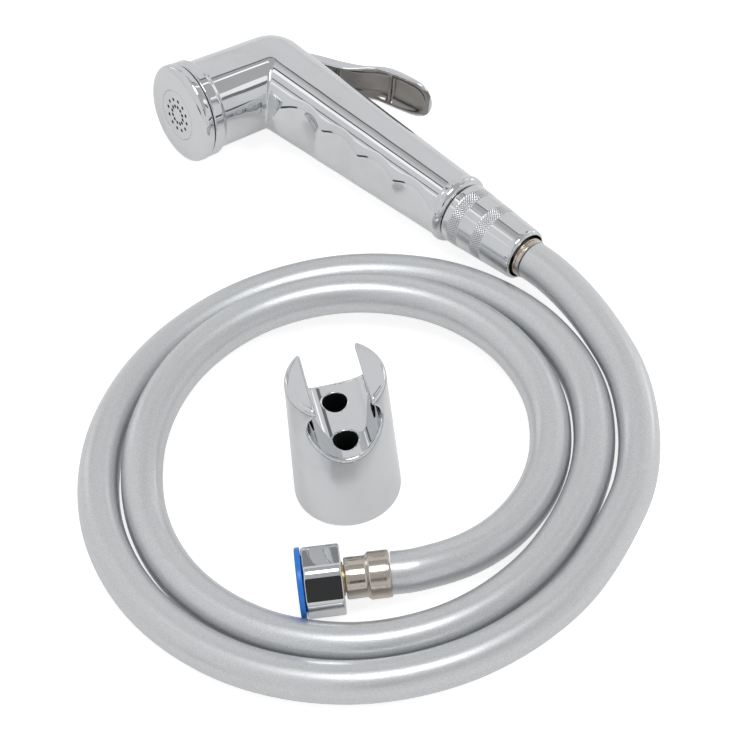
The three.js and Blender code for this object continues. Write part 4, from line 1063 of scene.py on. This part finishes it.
class SPRAYER_OT_sleeves(bpy.types.Operator):
    """Turns the crimped nickel sleeves at both ends of the hose"""
    bl_idname = "sprayer.sleeves"
    bl_label = "Hose sleeves"

    def execute(self, context):
        sizes = context.scene.sprayer_hose
        bore = 5.3
        start = node_span("handset_sleeve", HANDSET, 0)[0]
        end, radius = sizes.sleeve_end, sizes.sleeve_radius
        crimp, crimp_deep, crimp_half = end - 2.0, 0.3, 0.4
        outline = rounded([(start, bore, 0), (start, radius, 0.4), (crimp - crimp_half, radius, 0.3),
                           (crimp, radius - crimp_deep, 0.2), (crimp + crimp_half, radius, 0.3),
                           (end, radius, 0.7), (end, bore, 0)])
        add_piece("sprayer_handset_sleeve", lathe(outline, 96), HANDSET, "hose",
                  finish("warm_nickel"), ("handset_sleeve",))
        start = sizes.supply_sleeve_start
        step = start + sizes.supply_neck_length
        end = step + sizes.supply_collar_length
        neck, collar = sizes.supply_neck_radius, sizes.supply_collar_radius
        outline = rounded([(start, bore, 0), (start, neck - 0.1, 0.5), (start + 1.6, neck, 0.8),
                           (step - 1.2, neck - 0.15, 1.0), (step, collar, 0.8),
                           (step + 2.0, collar - 0.05, 0.6), (end - 1.8, collar, 0.8),
                           (end, collar - 0.15, 0.8), (end, bore, 0)])
        add_piece("sprayer_supply_sleeve", lathe(outline, 96), SUPPLY, "hose",
                  finish("warm_nickel"), ("supply_sleeve",))
        return {"FINISHED"}


KNURL_STARTS = (3, 14.5)


def cone_nut_outline(sizes):
    """Profile of the cone nut, with close steps where it is knurled."""
    start, end = sizes.cone_nut_start, sizes.cone_nut_start + sizes.cone_nut_length
    big, small = sizes.cone_nut_radius, sizes.cone_nut_tip_radius
    taper = (big - small) / sizes.cone_nut_length
    margin, knurl_step, round_over = 0.2, 0.13, 1.2
    bands = [np.arange(start + first - margin, start + first + sizes.knurl_width + margin, knurl_step)
             for first in KNURL_STARTS]
    plain = [np.linspace(start + 0.8, start + 2.7, 5), np.linspace(start + 8.3, start + 14.2, 8),
             np.linspace(start + 19.8, end - 1.4, 10)]
    along = np.unique(np.round(np.concatenate((*bands, *plain)), 4))
    outer = [(x, big - taper * (x - start)) for x in along]
    nose = [(end + round_over * (math.sin(angle) - 1), small + round_over * (math.cos(angle) - 1))
            for angle in np.linspace(0.2, math.pi / 2, 6)]
    rim = [(start, big - 0.8), (start + 0.1, big - 0.4), (start + 0.4, big - 0.1)]
    bore, tip_bore, shoulder = 10.5, 9.3, 121.3
    return [(start, bore), *rim, *outer, *nose, (end, tip_bore + 0.2), (end - 0.3, tip_bore),
            (shoulder, tip_bore), (shoulder, bore)]


class SPRAYER_OT_cone_nut(bpy.types.Operator):
    """Turns the cone nut with its two bands of diamond knurl"""
    bl_idname = "sprayer.cone_nut"
    bl_label = "Cone nut"

    def execute(self, context):
        sizes = context.scene.sprayer_hose
        sides_per_ridge = 8
        sides = sides_per_ridge * sizes.knurl_count
        outline = cone_nut_outline(sizes)
        outer = {round(x, 4) for x, radius in outline if radius > sizes.cone_nut_tip_radius - 0.1}
        pitch = FULL_TURN * sizes.cone_nut_radius / sizes.knurl_count

        def knurl(x, angles):
            if round(x, 4) not in outer:
                return np.zeros(len(angles))
            along = x - sizes.cone_nut_start
            band = max(self.band_share(along - first, sizes.knurl_width) for first in KNURL_STARTS)
            turns = FULL_TURN * along / pitch
            ridges = [np.abs(np.sin((angles * sizes.knurl_count + way * turns) / 2)) for way in (1, -1)]
            return band * sizes.knurl_height * (np.minimum(ridges[0], ridges[1]) * 1.5 - 1.0)

        nut = add_piece("sprayer_cone_nut", lathe(outline, sides, knurl), HANDSET, "cone_nut",
                        finish("chrome_turned"), ("cone_nut",))
        taper = (sizes.cone_nut_radius - sizes.cone_nut_tip_radius) / sizes.cone_nut_length
        # Faces sunk deep in the knurl's grooves get the darker chrome: painted shade in the grooves
        margin, shade_from = 0.2, 0.55

        def in_groove(x, y, z, normal):
            along = x - sizes.cone_nut_start
            sunk = sizes.cone_nut_radius - taper * along - math.hypot(y, z)
            banded = any(margin < along - first < sizes.knurl_width - margin for first in KNURL_STARTS)
            return banded and shade_from * sizes.knurl_height < sunk < 2 * sizes.knurl_height

        line_with(nut, HANDSET, in_groove, "knurl_groove_shade")
        return {"FINISHED"}

    @staticmethod
    def band_share(along, width):
        """1 inside a knurled band, 0 outside, with a short ramp."""
        run_in = 0.3
        return min(1.0, max(0.0, along / run_in)) * min(1.0, max(0.0, (width - along) / run_in))


def hex_distance(sizes):
    """Distance to the hex nut, with bevelled ends."""
    corner = sizes.hex_across_flats / math.sqrt(3)
    shoulder, bevel, corner_blend = 9.8, 1.4, 2.6
    bore, tail_bore = 10.5, 6.4

    def distance(p):
        x, y, z = p.T
        across = np.hypot(y, z)
        shape = np.full(len(x), -100.0)
        for index in range(3):
            angle = sizes.hex_turn + math.radians(30 + 60 * index)
            flat = np.abs(-math.sin(angle) * y + math.cos(angle) * z) - sizes.hex_across_flats / 2
            shape = smooth_max(shape, flat, corner_blend)
        for inset in (x, sizes.hex_length - x):
            cone = (across - corner + bevel - inset) * math.sqrt(0.5)
            shape = smooth_max(shape, cone, 0.25)
            shape = smooth_max(shape, -inset, 0.4)
        bores = np.minimum(cylinder(x, across, bore, -1, shoulder), cylinder(x, across, tail_bore, -1, 30))
        return smooth_max(shape, -bores, 0.35)

    return distance


class SPRAYER_OT_hex_nut(bpy.types.Operator):
    """Makes the hex nut of the hose's supply end"""
    bl_idname = "sprayer.hex_nut"
    bl_label = "Hex nut"

    def execute(self, context):
        sizes = context.scene.sprayer_hose
        margin, grid_step = 0.6, 0.33
        reach = sizes.hex_across_flats / math.sqrt(3) + margin
        low, high = (-margin, -reach, -reach), (sizes.hex_length + margin, reach, reach)
        add_piece("sprayer_hex_nut", skin(hex_distance(sizes), low, high, grid_step), SUPPLY, "hex_nut",
                  finish("chrome_casting"), ("hex_nut",))
        return {"FINISHED"}


class SPRAYER_OT_thread_cap(bpy.types.Operator):
    """Turns the blue plastic cap in the hex nut's mouth"""
    bl_idname = "sprayer.thread_cap"
    bl_label = "Thread cap"

    def execute(self, context):
        sizes = context.scene.sprayer_hose
        radius, plug, wall = sizes.thread_cap_radius, 9.9, 1.6
        front, seat, depth, groove = -2.3, -0.3, 3.0, -1.95
        outline = rounded([(front, 0, 0), (front, radius - 2.6, 0.3), (groove, radius - 2.3, 0.3),
                           (groove, radius - 1.6, 0.3), (front, radius - 1.3, 0.3), (front, radius, 0.6),
                           (seat, radius, 0.4), (seat, plug, 0), (depth, plug, 0.4),
                           (depth, plug - wall, 0.4), (0, plug - wall, 0), (0, 0, 0)])
        add_piece("sprayer_thread_cap", lathe(outline, 96), SUPPLY, "thread_cap",
                  finish("blue_plastic"), ("thread_cap",))
        return {"FINISHED"}


# ---------------------------------------------------------------- the wall holder
def holder_distance(sizes):
    """Distance to the wall holder: a slim cone with a channel across its top and two screw wells."""
    cosine, sine = math.cos(sizes.channel_turn), math.sin(sizes.channel_turn)
    lean = math.atan2(sizes.base_radius - sizes.top_radius, sizes.height)
    horn_blend, lip_blend = 2.2, 1.4

    def distance(p):
        x, y, z = p.T
        across, along = x * cosine + y * sine, -x * sine + y * cosine
        side = np.hypot(x, y) - sizes.base_radius + z * math.tan(lean)
        shape = smooth_max(side * math.cos(lean), z - sizes.height, horn_blend)
        shape = smooth_max(shape, -z, 1.2)
        bore = np.hypot(across, z - sizes.channel_height) - sizes.channel_radius
        slot = np.maximum(np.abs(across) - sizes.channel_slot / 2, sizes.channel_height - z)
        shape = smooth_max(shape, -smooth_min(bore, slot, 0.05), lip_blend)
        for way in (-1, 1):
            from_axis = np.hypot(across, along - way * sizes.well_spacing / 2)
            well = np.maximum(from_axis - sizes.well_radius, sizes.well_floor - z)
            shape = smooth_max(shape, -np.minimum(well, from_axis - sizes.screw_hole), 0.7)
        return shape

    return distance


class SPRAYER_OT_holder(bpy.types.Operator):
    """Casts the wall holder with its channel and screw wells"""
    bl_idname = "sprayer.holder"
    bl_label = "Wall holder"

    def execute(self, context):
        sizes = context.scene.sprayer_holder
        reach, grid_step = sizes.base_radius + 1, 0.52
        low, high = (-reach, -reach, -1.01), (reach, reach, sizes.height + 1)
        shape = skin(holder_distance(sizes), low, high, grid_step)
        holder = add_piece("sprayer_holder", shape, HOLDER, "holder", finish("chrome_casting"),
                           ("holder_body",))
        cosine, sine = math.cos(sizes.channel_turn), math.sin(sizes.channel_turn)
        well_mouth, wall_play = sizes.channel_height - sizes.channel_radius + 0.9, 0.12

        # Faces of the well walls get the near-black finish: painted shade in the deep wells
        def in_well(x, y, z, normal):
            across, along = x * cosine + y * sine, -x * sine + y * cosine
            near = math.hypot(across, abs(along) - sizes.well_spacing / 2)
            return near < sizes.well_radius + wall_play and z < well_mouth and normal.z < 0.75

        line_with(holder, HOLDER, in_well, "painted_hole_shade")
        return {"FINISHED"}


# ---------------------------------------------------------------- the pieces inside
INNER_FINISHES = {
    "turned_brass": ("valve_body", "valve_plunger", "spring_retainer", "tail_connector", "handset_hose_tail",
                     "supply_hose_tail"),
    "drawn_steel": ("valve_seat",),
    "seal_rubber": ("plate_seal", "plunger_seal", "pipe_seal_valve_end", "pipe_seal_tail_end",
                    "cone_nut_washer", "hex_nut_washer"),
    "white_plastic": ("nozzle_carrier", "outlet_pipe", "inner_water_pipe", "inlet_filter"),
}


class SPRAYER_OT_inner_pieces(bpy.types.Operator):
    """Gives the valve, pipes, seals and tails inside their finishes"""
    bl_idname = "sprayer.inner_pieces"
    bl_label = "Inner pieces"

    def execute(self, context):
        for name, nodes in INNER_FINISHES.items():
            for node in nodes:
                for material_slot in frame["nodes"][node].material_slots:
                    material_slot.material = finish(name)
        return {"FINISHED"}


# ---------------------------------------------------------------- camera, floor and light
TENT_PATCHES = (
    # brightness, from and to in degrees round the tent (0 is the back, 90 the right), from and to in height
    (0.05, 173, 187, 20, 34),
    (0.06, -126, -113, 0, 6),
    (2.20, 47, 60, 0, 8),
    (0.30, -4, -1, 27, 37),
    (0.20, 31, 35, 26, 38),
    (1.60, 40, 44, 14, 30),
    (0.28, -18, -14, 32, 46),
    (0.22, -34, -29, 24, 42),
    (1.50, -46, -41, 8, 28),
    (1.50, 58, 62, 44, 55),
    (1.15, 96, 105, 29, 38),
    (0.22, 106, 109, 22, 31),
    (0.10, 108, 126, 0, 3),
)
TENT_LINES = (
    # brightness, where it starts and ends on the ceiling, east and north of overhead, and its half width
    (0.06, (-0.43, 0.39), (-0.31, 0.248), 0.020),
    (1.30, (-0.515, 0.328), (-0.40, 0.193), 0.045),
    (0.14, (-0.852, 0.127), (-0.743, -0.01), 0.020),
    (1.12, (-1.10, 0.035), (-0.965, -0.13), 0.050),
)


def tent_light(world, settings):
    """A light tent seen by direction: pale walls with an open front, dark seams and bright folds, a greyer
    ceiling panel behind a thin dark seam, and a round lamp overhead."""
    world.use_nodes = True
    tree = world.node_tree
    background = tree.nodes["Background"]
    place = tree.nodes.new("ShaderNodeTexCoord")
    split = tree.nodes.new("ShaderNodeSeparateXYZ")
    tree.links.new(place.outputs["Generated"], split.inputs[0])
    up = math_node(tree, "MAXIMUM", split.outputs["Z"], 0.02)
    east = math_node(tree, "DIVIDE", split.outputs["X"], up)
    north = math_node(tree, "DIVIDE", split.outputs["Y"], up)

    skirting = 0.95
    level = ramp(tree, split.outputs["Z"], -0.02, 0.35, skirting * settings.tent_light, settings.tent_light)
    seam_north, seam_width, seam_light = 0.60, 0.025, 0.12
    panel = ramp(tree, north, seam_north - 0.03, seam_north, 1.0, 0.0)
    panel = math_node(tree, "MULTIPLY", panel, ramp(tree, north, -2.2, -1.5))
    panel = math_node(tree, "MULTIPLY", panel, ramp(tree, east, -0.35, -0.1))
    panel = math_node(tree, "MULTIPLY", panel, ramp(tree, east, 1.5, 2.2, 1.0, 0.0))
    level = mixed(tree, panel, level, settings.panel_light)

    seam = ramp(tree, math_node(tree, "ABSOLUTE", math_node(tree, "SUBTRACT", north, seam_north)),
                seam_width * 0.6, seam_width * 1.6, 1.0, 0.0)
    seam = math_node(tree, "MULTIPLY", seam, ramp(tree, east, -0.2, -0.12))
    seam = math_node(tree, "MULTIPLY", seam, ramp(tree, east, 0.6, 0.75, 1.0, 0.0))
    level = mixed(tree, seam, level, seam_light)

    back = math_node(tree, "ARCTAN2", split.outputs["X"], split.outputs["Y"])
    forward = math_node(tree, "MULTIPLY", split.outputs["Y"], -1.0)
    front = math_node(tree, "ARCTAN2", split.outputs["X"], forward)
    for brightness, start, end, low, high in TENT_PATCHES:
        if end > 180:
            round_tent = window(tree, front, 180 - end, 180 - start)
        else:
            round_tent = window(tree, back, start, end)
        height = window(tree, math_node(tree, "ARCSINE", split.outputs["Z"]), low, high)
        level = mixed(tree, math_node(tree, "MULTIPLY", round_tent, height), level, brightness)

    for brightness, start, end, half_width in TENT_LINES:
        line = line_mask(tree, east, north, start, end, half_width, 2 * half_width)
        level = mixed(tree, line, level, brightness)
    lamp_east, lamp_north, lamp_radius = 0.05, -0.16, 0.24
    from_lamp = add_node(tree, "ShaderNodeVectorMath", operation="LENGTH")
    offset = add_node(tree, "ShaderNodeCombineXYZ")
    tree.links.new(math_node(tree, "SUBTRACT", east, lamp_east), offset.inputs[0])
    tree.links.new(math_node(tree, "SUBTRACT", north, lamp_north), offset.inputs[1])
    tree.links.new(offset.outputs[0], from_lamp.inputs[0])
    lamp = ramp(tree, from_lamp.outputs["Value"], lamp_radius * 0.8, lamp_radius, 1.0, 0.0)
    level = mixed(tree, lamp, level, settings.lamp_light)
    seen = tree.nodes.new("ShaderNodeLightPath").outputs["Is Camera Ray"]
    backdrop_light = 1.1
    tree.links.new(mixed(tree, seen, level, backdrop_light), background.inputs["Strength"])
    background.inputs["Color"].default_value = (0.985, 0.992, 1.0, 1)


def window(tree, angle, start, end, edge=1.2):
    """1 between two angles in degrees, 0 outside, with a soft edge."""
    start, end, edge = (math.radians(value) for value in (start, end, edge))
    after_start = ramp(tree, angle, start - edge, start)
    before_end = ramp(tree, angle, end, end + edge, 1.0, 0.0)
    return math_node(tree, "MULTIPLY", after_start, before_end)


def mixed(tree, factor, first, second):
    """Number between two numbers, by a factor."""
    node = add_node(tree, "ShaderNodeMix", data_type="FLOAT")
    for socket, value in zip((node.inputs[0], node.inputs[2], node.inputs[3]), (factor, first, second)):
        if isinstance(value, bpy.types.NodeSocket):
            tree.links.new(value, socket)
        else:
            socket.default_value = value
    return node.outputs[0]


def line_mask(tree, east, north, start, end, core, edge):
    """1 near the line from start to end on the tent's ceiling, 0 further away."""
    run = Vector(end) - Vector(start)
    length = run.length
    run.normalize()
    from_east = math_node(tree, "SUBTRACT", east, start[0])
    from_north = math_node(tree, "SUBTRACT", north, start[1])
    along = math_node(tree, "ADD", math_node(tree, "MULTIPLY", from_east, run.x),
                      math_node(tree, "MULTIPLY", from_north, run.y))
    across = math_node(tree, "SUBTRACT", math_node(tree, "MULTIPLY", from_east, run.y),
                       math_node(tree, "MULTIPLY", from_north, run.x))
    near = ramp(tree, math_node(tree, "ABSOLUTE", across), core, edge, 1.0, 0.0)
    within = math_node(tree, "MULTIPLY", ramp(tree, along, -edge, 0.0),
                       ramp(tree, along, length, length + edge, 1.0, 0.0))
    return math_node(tree, "MULTIPLY", near, within)


class SPRAYER_OT_stage(bpy.types.Operator):
    """Sets the camera, the pale floor and the soft studio light"""
    bl_idname = "sprayer.stage"
    bl_label = "Stage"

    def execute(self, context):
        settings = context.scene.sprayer_stage
        self.add_camera(context, settings)
        self.add_floor(context, settings)
        world = bpy.data.worlds.new("light_tent")
        context.scene.world = world
        tent_light(world, settings)
        softbox_place, softbox_side = (1.3, -0.45, 1.45), 0.6
        self.add_softbox(context, "softbox_right", softbox_place, softbox_side, settings.softbox_power)
        context.scene.view_settings.view_transform = "Standard"
        return {"FINISHED"}

    def add_camera(self, context, settings):
        low, high = math.cos(settings.elevation), math.sin(settings.elevation)
        forward, right, up = Vector((0, low, -high)), Vector((1, 0, 0)), Vector((0, high, low))
        cosine, sine = math.cos(settings.roll), math.sin(settings.roll)
        rolled_right, rolled_up = right * cosine - up * sine, right * sine + up * cosine
        data = bpy.data.cameras.new("camera")
        data.lens = settings.lens
        data.sensor_width = 36
        camera = bpy.data.objects.new("camera", data)
        position = Vector(settings.target) - forward * settings.distance
        camera.matrix_world = basis(rolled_right, rolled_up, -forward, position)
        context.scene.collection.objects.link(camera)
        context.scene.camera = camera

    def add_floor(self, context, settings):
        radius, sides = 6, 96
        mesh = bpy.data.meshes.new("floor")
        angles = np.linspace(0, FULL_TURN, sides, endpoint=False)
        rim = [(radius * math.cos(angle), radius * math.sin(angle), 0) for angle in angles]
        mesh.from_pydata(rim, [], [tuple(range(sides))])
        material, tree, shader = new_material("floor_white", Roughness=0.9, Specular_IOR_Level=0.1,
                                              Emission_Color=(1.0, 1.0, 1.0))
        shader.inputs["Base Color"].default_value = (0.5, 0.5, 0.5, 1)
        seen = tree.nodes.new("ShaderNodeLightPath").outputs["Is Camera Ray"]
        glow = mixed(tree, seen, settings.floor_glow, settings.floor_white)
        tree.links.new(glow, shader.inputs["Emission Strength"])
        mesh.materials.append(material)
        floor = bpy.data.objects.new("floor", mesh)
        context.scene.collection.objects.link(floor)

    def add_softbox(self, context, name, position, side, power):
        data = bpy.data.lights.new(name, "AREA")
        data.shape = "SQUARE"
        data.size = side
        data.energy = power
        light = bpy.data.objects.new(name, data)
        light.location = position
        light.rotation_euler = (-Vector(position)).to_track_quat("-Z", "Y").to_euler()
        light.visible_glossy = False
        context.scene.collection.objects.link(light)


# ---------------------------------------------------------------- panel and registration
STEPS = (SPRAYER_OT_stage, SPRAYER_OT_sleeves, SPRAYER_OT_hex_nut, SPRAYER_OT_thread_cap, SPRAYER_OT_hose,
         SPRAYER_OT_cone_nut, SPRAYER_OT_housing, SPRAYER_OT_spray_cap, SPRAYER_OT_spray_plate,
         SPRAYER_OT_thumb_lever, SPRAYER_OT_lever_rods, SPRAYER_OT_valve_spring, SPRAYER_OT_holder,
         SPRAYER_OT_inner_pieces)


class SPRAYER_PT_panel(bpy.types.Panel):
    """Lists the sprayer's settings and pieces"""
    bl_idname = "SPRAYER_PT_panel"
    bl_label = "Bath sprayer"
    bl_space_type = "VIEW_3D"
    bl_region_type = "UI"
    bl_category = "Bath sprayer"

    def draw(self, context):
        layout = self.layout
        for attribute, group in SETTINGS.items():
            box = layout.box()
            box.label(text=group.__doc__.split(".")[0])
            for name in group.__annotations__:
                box.prop(getattr(context.scene, attribute), name)
        column = layout.column(align=True)
        for step in STEPS:
            column.operator(step.bl_idname)


def register():
    for group in SETTINGS.values():
        bpy.utils.register_class(group)
    for attribute, group in SETTINGS.items():
        setattr(bpy.types.Scene, attribute, bpy.props.PointerProperty(type=group))
    for step in STEPS:
        bpy.utils.register_class(step)
    bpy.utils.register_class(SPRAYER_PT_panel)


def unregister():
    bpy.utils.unregister_class(SPRAYER_PT_panel)
    for step in reversed(STEPS):
        bpy.utils.unregister_class(step)
    for attribute, group in SETTINGS.items():
        delattr(bpy.types.Scene, attribute)
        bpy.utils.unregister_class(group)


def main():
    register()
    for step in STEPS:
        area, name = step.bl_idname.split(".")
        getattr(getattr(bpy.ops, area), name)()


if __name__ == "__main__":
    main()
